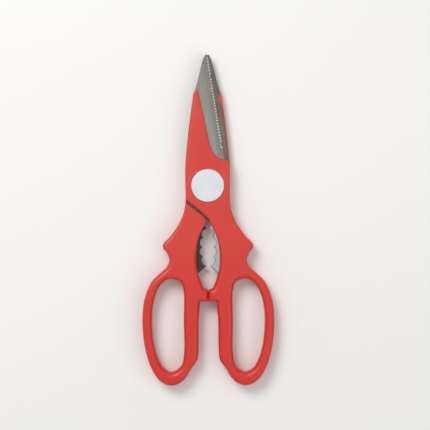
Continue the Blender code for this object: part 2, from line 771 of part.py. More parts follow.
def bright_steel(name):
    """Plated steel of the pivot's hardware."""
    return material(name, linear(178, 180, 184), 0.25, 1.0)


# ---------------------------------------------------------------- assembly

def half_frame(name, turned_over):
    """Empty on the pivot axis in the mating plane, which carries one half."""
    frame = bpy.data.objects.new(name, None)
    bpy.context.scene.collection.objects.link(frame)
    frame.location = (0, 0, HALF_THICKNESS * MM)
    frame.rotation_euler = (0, pi if turned_over else 0, 0)
    return frame


def place(name, mesh, paint, frame, sharp=30):
    """One piece of the object, on the half that carries it."""
    piece = bpy.data.objects.new(name, mesh.copy())
    piece.data.name = name
    piece.data.materials.clear()
    piece.data.materials.append(paint(name))
    piece.data.shade_smooth()
    piece.data.set_sharp_from_angle(angle=radians(sharp))
    bpy.context.scene.collection.objects.link(piece)
    piece.parent = frame
    return piece


def build():
    """The ten pieces, each on its half."""
    for old in list(bpy.data.objects):
        bpy.data.objects.remove(old)
    front = half_frame("front_half", False)
    rear = half_frame("rear_half", True)
    handle = handle_mesh()
    cap = cap_mesh()
    place("front_handle", handle, red_plastic, front)
    place("rear_handle", handle, red_plastic, rear)
    place("front_blade", blade_mesh("front_blade", True), ground_steel, front)
    place("rear_blade", blade_mesh("rear_blade", False), ground_steel, rear)
    place("front_pivot_cap", cap, white_plastic, front)
    place("rear_pivot_cap", cap, white_plastic, rear)
    place("spring_washer", washer_mesh("spring_washer", WASHER_WAVE), bright_steel, front)
    place("flat_washer", washer_mesh("flat_washer", 0.0), bright_steel, rear)
    bolt = place("pivot_bolt", bolt_mesh(), bright_steel, rear)
    bolt.matrix_parent_inverse = Matrix.Rotation(pi, 4, "Y")
    place("pivot_nut", nut_mesh(), bright_steel, rear)


if __name__ == "__main__":
    build()
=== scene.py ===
"""Kitchen scissors with nutcracker jaws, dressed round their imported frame.

Each half is drawn once, in its own frame in millimetres: x towards its own finger loop, y towards
the blade tips, z outwards from the plane where the two halves meet. The rear half is the same
shape turned over about the long axis.
"""
from __future__ import annotations

import logging
from collections.abc import Callable, Sequence
from dataclasses import dataclass, field
from enum import Enum
from math import atan2, cos, hypot, pi, radians, sin

import bpy
import numpy as np
from mathutils import Matrix, Vector
from mathutils.geometry import delaunay_2d_cdt


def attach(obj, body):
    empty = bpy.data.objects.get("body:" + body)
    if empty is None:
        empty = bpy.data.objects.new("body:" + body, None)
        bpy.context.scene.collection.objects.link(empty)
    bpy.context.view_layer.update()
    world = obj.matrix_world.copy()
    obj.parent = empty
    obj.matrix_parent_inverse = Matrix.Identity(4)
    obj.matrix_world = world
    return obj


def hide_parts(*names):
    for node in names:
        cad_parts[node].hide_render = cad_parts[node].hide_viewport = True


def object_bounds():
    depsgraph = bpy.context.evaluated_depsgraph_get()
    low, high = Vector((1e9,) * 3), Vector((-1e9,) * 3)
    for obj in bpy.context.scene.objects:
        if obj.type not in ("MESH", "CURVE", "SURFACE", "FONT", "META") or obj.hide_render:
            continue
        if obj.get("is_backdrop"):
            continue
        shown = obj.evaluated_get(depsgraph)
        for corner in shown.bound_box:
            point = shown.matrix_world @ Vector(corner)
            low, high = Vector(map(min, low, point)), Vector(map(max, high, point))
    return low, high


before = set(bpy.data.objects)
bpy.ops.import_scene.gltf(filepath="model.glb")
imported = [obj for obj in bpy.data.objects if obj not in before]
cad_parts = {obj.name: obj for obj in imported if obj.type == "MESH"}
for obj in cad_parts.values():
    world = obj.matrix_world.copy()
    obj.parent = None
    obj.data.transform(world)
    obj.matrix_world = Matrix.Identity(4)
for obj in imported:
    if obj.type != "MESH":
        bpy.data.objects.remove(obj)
CAD_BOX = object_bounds()

MM = 0.001
SPANS = 24            # samples between two points of a smooth curve
STRIDE = 1.6          # most that two points of a drawn curve lie apart
BATCH = 800           # points that are measured at a time
TOOTH_STEPS = 14      # sides of the hollow between two teeth
PATTERN = (0.3, 0.7)  # values that most of a noise pattern lies between
log = logging.getLogger("scissors")

Point = tuple[float, float]
Profile = Callable[[np.ndarray, np.ndarray], np.ndarray]


class Half(Enum):
    """One half of the scissors, by the name of the body that carries it."""

    FRONT = "front_half"
    REAR = "rear_half"

    @property
    def side(self) -> str:
        """Word for the half in the names of its pieces."""
        return self.value.split("_")[0]


class Grain(Enum):
    """Direction of the polishing marks in steel, as the stretch of a pattern along x, y and z."""

    ALONG = (2600.0, 60.0, 400.0)
    ACROSS = (90.0, 2400.0, 90.0)
    SCUFFED = (700.0, 420.0, 500.0)


# ------------------------------------------------------------------ node trees


@dataclass
class Recipe:
    """Node tree that is put together a node at a time."""

    tree: bpy.types.NodeTree

    def feed(self, node: bpy.types.Node, sockets: dict) -> None:
        """Sets a node's inputs.

        Args:
            node: The node.
            sockets: Value or output socket for each input, by the input's name or index.
        """
        for name, value in sockets.items():
            socket = node.inputs[name]
            if isinstance(value, bpy.types.NodeSocket):
                self.tree.links.new(value, socket)
            else:
                socket.default_value = value

    def add(self, kind: str, sockets: dict | None = None, **settings: object) -> bpy.types.Node:
        """Adds one node.

        Args:
            kind: Type name of the node.
            sockets: Value or output socket for each input, by the input's name or index.
            settings: Properties of the node itself.

        Returns:
            The new node.
        """
        node = self.tree.nodes.new(kind)
        for name, value in settings.items():
            setattr(node, name, value)
        self.feed(node, sockets or {})
        return node

    def mix(self, share: object, first: object, second: object) -> object:
        """Colour between two colours, with the given share of the second."""
        return self.add("ShaderNodeMix", {0: share, 6: first, 7: second}, data_type="RGBA").outputs[2]

    def calc(self, operation: str, first: object, second: object) -> object:
        """Result of an operation on two values or sockets."""
        return self.add("ShaderNodeMath", {0: first, 1: second}, operation=operation).outputs[0]

    def below(self, value: object, limit: object) -> object:
        """True where the value is under the limit."""
        return self.add("FunctionNodeCompare", {0: value, 1: limit}, operation="LESS_THAN").outputs[0]

    def axis(self, vector: object, name: str) -> object:
        """Part X, Y or Z of a vector socket."""
        return self.add("ShaderNodeSeparateXYZ", {0: vector}).outputs[name]

    def vector(self, **parts: object) -> object:
        """Vector with the given X, Y and Z, each 0 where it is left out."""
        return self.add("ShaderNodeCombineXYZ", parts).outputs[0]

    def placed(self, geometry: object, place: object, turn: object = (0.0, 0.0, 0.0)) -> object:
        """Geometry that is turned and then moved."""
        sockets = {"Geometry": geometry, "Translation": place, "Rotation": turn}
        return self.add("GeometryNodeTransform", sockets).outputs[0]

    def mapped(self, place: object, scale: tuple = (1.0, 1.0, 1.0), turn: float = 0.0) -> object:
        """Coordinates that are stretched and then turned about z."""
        sockets = {"Vector": place, "Rotation": (0.0, 0.0, turn), "Scale": scale}
        return self.add("ShaderNodeMapping", sockets).outputs[0]

    def bump(self, strength: float, depth: float, height: object) -> object:
        """Normal of a surface with small dents, by their strength and depth in metres."""
        sockets = {"Strength": strength, "Distance": depth, "Height": height}
        return self.add("ShaderNodeBump", sockets).outputs[0]

    def level(self, source: object, low: float, high: float, start: float, end: float) -> object:
        """Maps a value from one range to another.

        Args:
            source: Output socket of the value.
            low: Bottom of its range.
            high: Top of its range.
            start: Result at the bottom.
            end: Result at the top.

        Returns:
            The mapped value's output socket.
        """
        node = self.add("ShaderNodeMapRange",
                        {"Value": source, "From Min": low, "From Max": high, "To Min": start, "To Max": end})
        return node.outputs["Result"]

    def fade(self, place: object, reach: tuple[float, float]) -> object:
        """Share of the way down the scissors.

        Args:
            place: Socket of Object coordinates.
            reach: Y, in metres, where the share starts to rise from 0 and where it is 1.

        Returns:
            The share's socket.
        """
        return self.level(self.axis(place, "Y"), reach[1], reach[0], 1.0, 0.0)

    def noise(self, coordinates: object, scale: float, detail: float, fine: float = 0.55) -> object:
        """Value of a noise pattern, with its scale, its detail and how much the finest detail shows."""
        sockets = {"Vector": coordinates, "Scale": scale, "Detail": detail, "Roughness": fine}
        return self.add("ShaderNodeTexNoise", sockets).outputs[0]


def linear(colour: Sequence[int]) -> tuple[float, float, float, float]:
    """Shader colour for the levels of a picture.

    Args:
        colour: Red, green and blue from 0 to 255.

    Returns:
        Red, green, blue and alpha from 0 to 1.
    """
    parts = [level / 255 for level in colour]
    red, green, blue = (p / 12.92 if p <= 0.04045 else ((p + 0.055) / 1.055) ** 2.4 for p in parts)
    return red, green, blue, 1.0


def principled(name: str) -> tuple[bpy.types.Material, Recipe, bpy.types.Node, object]:
    """Starts a material.

    Args:
        name: Name of the material.

    Returns:
        The material, its recipe, its shader and the socket of Object coordinates.
    """
    made = bpy.data.materials.new(name)
    made.use_nodes = True
    recipe = Recipe(made.node_tree)
    shader = made.node_tree.nodes["Principled BSDF"]
    return made, recipe, shader, recipe.add("ShaderNodeTexCoord").outputs["Object"]


# ------------------------------------------------------------------ finishes


@dataclass(frozen=True)
class MouldedPlastic:
    """Glossy moulded plastic: slow colour changes, a faint orange peel and hairline scratches."""

    name: str
    colour: tuple[int, int, int]
    deep: tuple[int, int, int]
    roughness: float
    # far fades in down the scissors between the y values of reach, in metres; on both red plastics it is
    # painted shade, darker further down.
    far: tuple[int, int, int] | None = None
    reach: tuple[float, float] = (0.0, -0.085)
    gloss: float = 0.5
    ior: float = 1.53
    drift: float = 55.0
    patches: tuple[float, float] = (0.35, 0.65)
    mottle: float = 1400.0
    speckle: float = 0.12
    peel: float = 900.0
    dents: tuple[float, float] = (0.12, 0.00012)
    shine: tuple[float, float] = (-0.04, 0.05)
    hair: float = 2600.0
    hair_lines: tuple[float, float] = (0.70, 0.76)
    hair_stretch: float = 0.04
    hair_turn: float = 0.6
    scratches: float = 0.35

    def material(self) -> bpy.types.Material:
        """Makes the material.

        Returns:
            The plastic's material.
        """
        made, recipe, shader, place = principled(self.name)
        slow = recipe.noise(place, self.drift, 2.0)
        share = recipe.level(slow, *self.patches, 0.0, 1.0)
        body = recipe.mix(share, linear(self.colour), linear(self.deep))
        # Where far is given this is painted shade: the colour turns to far further down the scissors.
        if self.far:
            body = recipe.mix(recipe.fade(place, self.reach), body, linear(self.far))
        speck = recipe.level(recipe.noise(place, self.mottle, 4.0), *PATTERN, 0.0, self.speckle)
        drawn = recipe.mapped(place, (1.0, self.hair_stretch, 1.0), self.hair_turn)
        line = recipe.level(recipe.noise(drawn, self.hair, 2.0), *self.hair_lines, 0.0, self.scratches)
        shine = recipe.level(slow, *PATTERN, *(self.roughness + change for change in self.shine))
        dents = recipe.calc("SUBTRACT", recipe.noise(place, self.peel, 2.0), line)
        recipe.feed(shader, {
            "Base Color": recipe.mix(speck, body, linear(self.deep)),
            "Roughness": recipe.calc("ADD", shine, line),
            "Normal": recipe.bump(*self.dents, dents),
            "IOR": self.ior,
            "Specular IOR Level": self.gloss,
        })
        return made


@dataclass(frozen=True)
class BrushedSteel:
    """Stainless steel with polishing marks and slow bands of shade."""

    name: str
    colour: tuple[int, int, int]
    deep: tuple[int, int, int]
    grain: Grain
    roughness: float = 0.34
    turn: float = 0.0
    marks: float = 0.5
    bands: float = 130.0
    # far fades in down the scissors between the y values of reach, in metres; on the inner steel it is painted
    # shade, darker on the jaws.
    far: tuple[int, int, int] | None = None
    reach: tuple[float, float] = (-0.022, -0.026)
    band_stretch: float = 0.16
    patches: tuple[float, float] = (0.32, 0.68)
    mark_shade: float = 0.8
    shine: tuple[float, float] = (-0.06, 0.08)
    dents: tuple[float, float] = (0.18, 0.00006)

    def material(self) -> bpy.types.Material:
        """Makes the material.

        Returns:
            The steel's material.
        """
        made, recipe, shader, place = principled(self.name)
        straight = recipe.mapped(place, turn=self.turn)
        lines = recipe.noise(recipe.mapped(straight, self.grain.value), 1.0, 4.0)
        bands = recipe.noise(recipe.mapped(straight, (1.0, self.band_stretch, 1.0)), self.bands, 2.0)
        share = recipe.level(bands, *self.patches, 0.0, 1.0)
        body = recipe.mix(share, linear(self.colour), linear(self.deep))
        # Where far is given it fades in down the scissors; on the inner steel this is painted shade.
        if self.far:
            body = recipe.mix(recipe.fade(place, self.reach), body, linear(self.far))
        dark = linear(tuple(round(level * self.mark_shade) for level in self.deep))
        mark = recipe.level(lines, *PATTERN, 0.0, self.marks)
        recipe.feed(shader, {
            "Base Color": recipe.mix(mark, body, dark),
            "Roughness": recipe.level(lines, *PATTERN, *(self.roughness + change for change in self.shine)),
            "Normal": recipe.bump(*self.dents, lines),
            "Metallic": 1.0,
        })
        return made


@dataclass(frozen=True)
class PaleFloor:
    """Matt pale ground with hardly any pattern."""

    name: str = "pale_floor"
    colour: tuple[int, int, int] = (238, 237, 234)
    deep: tuple[int, int, int] = (232, 231, 229)
    drift: float = 3.0
    tint: float = 0.25
    roughness: float = 0.9
    gloss: float = 0.15

    def material(self) -> bpy.types.Material:
        """Makes the material.

        Returns:
            The floor's material.
        """
        made, recipe, shader, place = principled(self.name)
        tint = recipe.level(recipe.noise(place, self.drift, 2.0), *PATTERN, 0.0, self.tint)
        body = recipe.mix(tint, linear(self.colour), linear(self.deep))
        recipe.feed(shader, {"Base Color": body, "Roughness": self.roughness,
                             "Specular IOR Level": self.gloss})
        return made


# ------------------------------------------------------------------ plan curves


def smooth(points: Sequence[Point]) -> np.ndarray:
    """Smooth curve through the points.

    Args:
        points: Points that the curve goes through.

    Returns:
        The curve's samples, one row each.
    """
    ends = np.asarray(points, float)
    knots = np.vstack([2 * ends[0] - ends[1], ends, 2 * ends[-1] - ends[-2]])
    share = np.arange(SPANS)[:, None] / SPANS
    samples = []
    for p0, p1, p2, p3 in zip(knots, knots[1:], knots[2:], knots[3:]):
        t1 = np.linalg.norm(p1 - p0) ** 0.5
        t2 = t1 + np.linalg.norm(p2 - p1) ** 0.5
        t3 = t2 + np.linalg.norm(p3 - p2) ** 0.5
        t = t1 + (t2 - t1) * share
        a1 = p0 * (t1 - t) / t1 + p1 * t / t1
        a2 = p1 * (t2 - t) / (t2 - t1) + p2 * (t - t1) / (t2 - t1)
        a3 = p2 * (t3 - t) / (t3 - t2) + p3 * (t - t2) / (t3 - t2)
        b1 = a1 * (t2 - t) / t2 + a2 * t / t2
        b2 = a2 * (t3 - t) / (t3 - t1) + a3 * (t - t1) / (t3 - t1)
        samples.append(b1 * (t2 - t) / (t2 - t1) + b2 * (t - t1) / (t2 - t1))
    return np.vstack(samples + [ends[-1:]])


def thinned(samples: np.ndarray, turn: float = radians(4)) -> np.ndarray:
    """Keeps the samples that a drawn curve needs.

    Args:
        samples: Samples that lie close together.
        turn: Most that the curve may turn between two kept samples.

    Returns:
        The kept samples.
    """
    ways = np.diff(samples, axis=0)
    headings = np.unwrap(np.arctan2(ways[:, 1], ways[:, 0]))
    kept = [0]
    swept = 0.0
    for index in range(1, len(samples) - 1):
        swept += abs(headings[index] - headings[index - 1])
        if swept >= turn or np.linalg.norm(samples[index] - samples[kept[-1]]) >= STRIDE:
            kept.append(index)
            swept = 0.0
    return samples[kept + [len(samples) - 1]]


def curve(points: Sequence[Point]) -> np.ndarray:
    """Drawn curve, or a straight line with steps where there are two points.

    Args:
        points: Points that it goes through.

    Returns:
        The curve's points.
    """
    if len(points) == 2:
        ends = np.asarray(points, float)
        steps = max(1, round(np.linalg.norm(ends[1] - ends[0]) / STRIDE))
        return ends[0] + (ends[1] - ends[0]) * np.arange(steps + 1)[:, None] / steps
    return thinned(smooth(points))


def closed_curve(points: Sequence[Point]) -> np.ndarray:
    """Drawn closed curve with no corner.

    Args:
        points: Points that it goes through.

    Returns:
        The curve's points.
    """
    points = list(points)
    samples = smooth(points[-2:] + points + points[:3])
    return thinned(samples[2 * SPANS:(2 + len(points)) * SPANS + 1])[:-1]


def cut_back(run: np.ndarray, distance: float, most: float = 0.6) -> np.ndarray:
    """Takes the last stretch off a run.

    Args:
        run: The run's points.
        distance: Length of the stretch.
        most: Largest share of the last step that may go.

    Returns:
        The shorter run.
    """
    run = run.copy()
    while len(run) > 2 and np.linalg.norm(run[-1] - run[-2]) <= distance:
        distance -= np.linalg.norm(run[-1] - run[-2])
        run = run[:-1]
    step = run[-1] - run[-2]
    run[-1] = run[-1] - step * min(distance / np.linalg.norm(step), most)
    return run


def joined(runs: Sequence[np.ndarray], setback: float, steps: int = 7) -> np.ndarray:
    """Closed outline from runs that meet end to end.

    Args:
        runs: The outline's runs, in order.
        setback: How far before each corner its rounding starts.
        steps: Sides of each rounded corner.

    Returns:
        The outline's points.
    """
    trimmed = [cut_back(cut_back(run, setback)[::-1], setback)[::-1] for run in runs]
    outline = []
    for index, run in enumerate(trimmed):
        outline.append(run)
        corner = runs[index][-1]
        start = run[-1]
        end = trimmed[(index + 1) % len(trimmed)][0]
        for step in range(1, steps):
            t = step / steps
            outline.append((start * (1 - t) ** 2 + corner * 2 * t * (1 - t) + end * t ** 2)[None])
    return np.vstack(outline)


def lefts(loop: np.ndarray, closed: bool = True, sharpest: float = 0.5) -> np.ndarray:
    """Direction to the left at each point, as long as keeps the sides parallel at corners.

    Args:
        loop: Points of a run or closed loop.
        closed: Whether it is closed.
        sharpest: Cosine past which a corner's direction grows no longer.

    Returns:
        A direction for each point.
    """
    ways = np.roll(loop, -1, axis=0) - loop
    if not closed:
        ways[-1] = ways[-2]
    ways /= np.linalg.norm(ways, axis=1)[:, None]
    before = np.roll(ways, 1, axis=0)
    if not closed:
        before[0] = ways[0]
    middle = ways + before
    middle /= np.linalg.norm(middle, axis=1)[:, None]
    left = np.column_stack([-middle[:, 1], middle[:, 0]])
    return left / np.maximum(np.abs((middle * ways).sum(1)), sharpest)[:, None]


def moved(run: np.ndarray, distance: float, closed: bool = False) -> np.ndarray:
    """Copy of a run or loop, moved to its left by the distance."""
    return run + lefts(run, closed) * distance


def mirrored(run: np.ndarray) -> np.ndarray:
    """The run on the other side of the long axis, still drawn in the same direction."""
    return (run * (-1, 1))[::-1]


def circle(radius: float, sides: int = 96) -> np.ndarray:
    """Points of a circle round the pivot axis, counter-clockwise."""
    angles = 2 * pi * np.arange(sides) / sides
    return np.column_stack([radius * np.cos(angles), radius * np.sin(angles)])


def arc_through(start: Point, middle: Point, end: Point, steps: int) -> np.ndarray:
    """Arc through three points.

    Args:
        start: First point.
        middle: Point on the arc.
        end: Last point, which is left out.
        steps: Sides of the arc.

    Returns:
        The arc's points.
    """
    (ax, ay), (bx, by), (cx, cy) = start, middle, end
    d = 2 * (ax * (by - cy) + bx * (cy - ay) + cx * (ay - by))
    sa, sb, sc = ax * ax + ay * ay, bx * bx + by * by, cx * cx + cy * cy
    ux = (sa * (by - cy) + sb * (cy - ay) + sc * (ay - by)) / d
    uy = (sa * (cx - bx) + sb * (ax - cx) + sc * (bx - ax)) / d
    first = atan2(ay - uy, ax - ux)
    sweep = (atan2(cy - uy, cx - ux) - first) % (2 * pi)
    if (atan2(by - uy, bx - ux) - first) % (2 * pi) > sweep:
        sweep -= 2 * pi
    angles = first + sweep * np.arange(steps) / steps
    radius = hypot(ax - ux, ay - uy)
    return np.column_stack([ux + radius * np.cos(angles), uy + radius * np.sin(angles)])


# ------------------------------------------------------------------ distances in plan


def inside(points: np.ndarray, loop: np.ndarray) -> np.ndarray:
    """Finds the points that lie inside a closed loop.

    Args:
        points: Points in plan.
        loop: The loop's points.

    Returns:
        True for each point inside.
    """
    after = np.roll(loop, -1, axis=0)
    hits = np.zeros(len(points), bool)
    for (x0, y0), (x1, y1) in zip(loop, after):
        if y0 != y1:
            crosses = (y0 > points[:, 1]) != (y1 > points[:, 1])
            hits ^= crosses & (points[:, 0] < x0 + (points[:, 1] - y0) * (x1 - x0) / (y1 - y0))
    return hits


def distance_to(points: np.ndarray, loops: Sequence[np.ndarray]) -> np.ndarray:
    """Distance to the nearest side of the loops.

    Args:
        points: Points in plan.
        loops: Closed loops.

    Returns:
        The distance of each point.
    """
    starts = np.vstack(loops)
    ways = np.vstack([np.roll(loop, -1, axis=0) - loop for loop in loops])
    squares = (ways ** 2).sum(1)
    found = np.empty(len(points))
    for first in range(0, len(points), BATCH):
        part = points[first:first + BATCH, None, :] - starts[None]
        share = np.clip((part * ways).sum(2) / squares, 0, 1)
        found[first:first + BATCH] = np.sqrt(((part - ways * share[..., None]) ** 2).sum(2).min(1))
    return found


def soft_distance(points: np.ndarray, loops: Sequence[np.ndarray], true: np.ndarray) -> np.ndarray:
    """Distance to the loops with no crease where two sides are equally near.

    Args:
        points: Points in plan.
        loops: Closed loops.
        true: Plain distance of each point.

    Returns:
        The soft distance, which equals the plain one close to a side.
    """
    spacing = 0.25          # between the spots that stand for a side
    least_square = 0.04     # of the distance to a spot
    straight_pull = 1.1781  # 3 pi / 8: pull of a long straight side at a distance of 1
    start, change = 0.5, 0.8  # where the soft distance begins to take over, and over how far
    spots, weights = [], []
    for loop in loops:
        for corner, after in zip(loop, np.roll(loop, -1, axis=0)):
            length = np.linalg.norm(after - corner)
            count = max(1, round(length / spacing))
            share = (np.arange(count) + 0.5)[:, None] / count
            spots.append(corner + (after - corner) * share)
            weights.append(np.full(count, length / count))
    spots, weights = np.vstack(spots), np.concatenate(weights)
    pull = np.empty(len(points))
    for first in range(0, len(points), BATCH):
        square = ((points[first:first + BATCH, None, :] - spots[None]) ** 2).sum(2)
        pull[first:first + BATCH] = (weights / np.maximum(square, least_square) ** 3).sum(1)
    soft = (pull / straight_pull) ** -0.2
    share = np.clip((true - start) / change, 0, 1)
    return true + (soft - true) * share * share * (3 - 2 * share)


# ------------------------------------------------------------------ meshes


def shown(name: str, data: bpy.types.ID) -> bpy.types.Object:
    """Puts a new object into the scene, at the origin.

    Args:
        name: Name of the object.
        data: Its mesh, lamp or camera.

    Returns:
        The object.
    """
    made = bpy.data.objects.new(name, data)
    bpy.context.scene.collection.objects.link(made)
    return made


def mesh_from(name: str, points: np.ndarray, faces: Sequence[Sequence[int]]) -> bpy.types.Mesh:
    """Mesh in metres from points in millimetres.

    Args:
        name: Name of the mesh.
        points: Its points.
        faces: The points of each face, counter-clockwise from outside.

    Returns:
        The mesh.
    """
    made = bpy.data.meshes.new(name)
    made.from_pydata((np.asarray(points) * MM).tolist(), [], [list(map(int, f)) for f in faces])
    made.validate()
    made.update()
    return made


def filled(loops: Sequence[np.ndarray], extra: np.ndarray | None = None,
           lines: Sequence[tuple[int, int]] = ()) -> tuple[np.ndarray, np.ndarray, list[int]]:
    """Triangles between closed loops.

    Args:
        loops: The outside, counter-clockwise, and then the holes.
        extra: More points to take in.
        lines: Sides between the extra points that the triangles keep.

    Returns:
        The points, the triangles, and for each point of the loops its place among the points.
    """
    points = np.vstack(loops)
    count = len(points)
    sides, start = [], 0
    for loop in loops:
        sides += [(start + k, start + (k + 1) % len(loop)) for k in range(len(loop))]
        start += len(loop)
    if extra is not None:
        points = np.vstack([points, extra])
        sides += [(count + a, count + b) for a, b in lines]
    same_place = 1e-6
    found = delaunay_2d_cdt([Vector(p) for p in points], sides, [], 0, same_place)
    spots = np.array([tuple(v) for v in found[0]])
    triangles = np.array(found[2])
    middles = spots[triangles].mean(1)
    keep = inside(middles, loops[0])
    for hole in loops[1:]:
        keep &= ~inside(middles, hole)
    place = {}
    for index, sources in enumerate(found[3]):
        for source in sources:
            place[source] = index
    return spots, triangles[keep], [place[k] for k in range(count)]


def slab(name: str, loops: Sequence[np.ndarray], low: float, high: float) -> bpy.types.Mesh:
    """Flat plate between two heights, from its outside and its holes."""
    return plate(name, loops, low, high, lambda x, y: 0 * x, 0.0)


def plate(name: str, loops: Sequence[np.ndarray], low: float, high: float, chamfer: Profile,
          under: float) -> bpy.types.Mesh:
    """Flat plate with chamfered rims.

    Args:
        name: Name of the mesh.
        loops: The outside, counter-clockwise, and then the holes.
        low: Height of the lower face.
        high: Height of the upper face.
        chamfer: Width of the upper rim's chamfer at (x, y).
        under: Width of the lower rim's chamfer.

    Returns:
        The plate.
    """
    steepness = 0.8  # depth of the upper chamfer by its width
    widths = [chamfer(loop[:, 0], loop[:, 1]) for loop in loops]
    tops = [loop + lefts(loop) * width[:, None] for loop, width in zip(loops, widths)]
    feet = [loop + lefts(loop) * under for loop in loops]
    levels = [(feet, [np.full(len(f), low) for f in feet]),
              (loops, [np.full(len(f), low + under) for f in loops]),
              (loops, [high - width * steepness for width in widths]),
              (tops, [np.full(len(f), high) for f in tops])]
    points, faces, rows = [], [], []
    start = 0
    for rings, heights in levels:
        row = []
        for ring, height in zip(rings, heights):
            points.append(np.column_stack([ring, height]))
            row.append(np.arange(start, start + len(ring)))
            start += len(ring)
        rows.append(row)
    for below, above in zip(rows, rows[1:]):
        for a, b in zip(below, above):
            faces += [(a[k], a[k - len(a) + 1], b[k - len(a) + 1], b[k]) for k in range(len(a))]
    for rings, row, upwards in ((feet, rows[0], False), (tops, rows[-1], True)):
        spots, triangles, place = filled(rings)
        ids = np.full(len(spots), -1)
        ids[place] = np.concatenate(row)
        ordered = ids[triangles]
        faces += list(ordered if upwards else ordered[:, ::-1])
    return mesh_from(name, np.vstack(points), faces)


def turned(name: str, profile: Sequence[Point], sides: int = 128) -> bpy.types.Mesh:
    """Closed mesh turned round the pivot axis.

    Args:
        name: Name of the mesh.
        profile: Pairs of radius and height, counter-clockwise; radius 0 is a point on the axis.
        sides: Steps round the axis.

    Returns:
        The turned mesh.
    """
    points, ids = [], []
    for radius, height in profile:
        if radius == 0:
            ids.append([len(points)] * sides)
            points.append((0, 0, height))
        else:
            ids.append(list(range(len(points), len(points) + sides)))
            points += [(x, y, height) for x, y in circle(radius, sides)]
    faces = []
    for a, b in zip(ids, ids[1:] + ids[:1]):
        for k in range(sides):
            corners = list(dict.fromkeys((a[k], a[(k + 1) % sides], b[(k + 1) % sides], b[k])))
            if len(corners) > 2:
                faces.append(corners)
    return mesh_from(name, np.array(points, float), faces)


def evaluated(name: str, mesh: bpy.types.Mesh,
              dress: Callable[[bpy.types.Object], None]) -> bpy.types.Mesh:
    """Applies modifiers to a mesh.

    Args:
        name: Name of the result.
        mesh: Mesh that they start from.
        dress: Adds the modifiers to the object that it is given.

    Returns:
        The finished mesh, with no modifier left.
    """
    block = shown(name, mesh)
    dress(block)
    bpy.context.view_layer.update()
    graph = bpy.context.evaluated_depsgraph_get()
    result = bpy.data.meshes.new_from_object(block.evaluated_get(graph))
    result.name = name
    bpy.data.objects.remove(block)
    return result


def carved(name: str, body: bpy.types.Mesh, cutters: Sequence[bpy.types.Mesh]) -> bpy.types.Mesh:
    """Takes the cutters out of a body.

    Args:
        name: Name of the result.
        body: Mesh that is cut.
        cutters: Closed meshes that cut it.

    Returns:
        The cut mesh.
    """
    tools = [shown(f"{name}_cutter", cutter) for cutter in cutters]

    def dress(block: bpy.types.Object) -> None:
        """Adds one cut for each tool.

        Args:
            block: Object that is cut.
        """
        for tool in tools:
            cut = block.modifiers.new(tool.name, "BOOLEAN")
            cut.operation = "DIFFERENCE"
            cut.solver = "EXACT"
            cut.object = tool

    result = evaluated(name, body, dress)
    for tool in tools:
        bpy.data.objects.remove(tool)
    return result


# ------------------------------------------------------------------ the drawing of one half


@dataclass(frozen=True)
class Heights:
    """Heights of one half above the plane where the halves meet, and of the whole."""

    mating: float = 0.15
    steel: float = 2.35
    cover: float = 4.8
    outer: float = 6.0


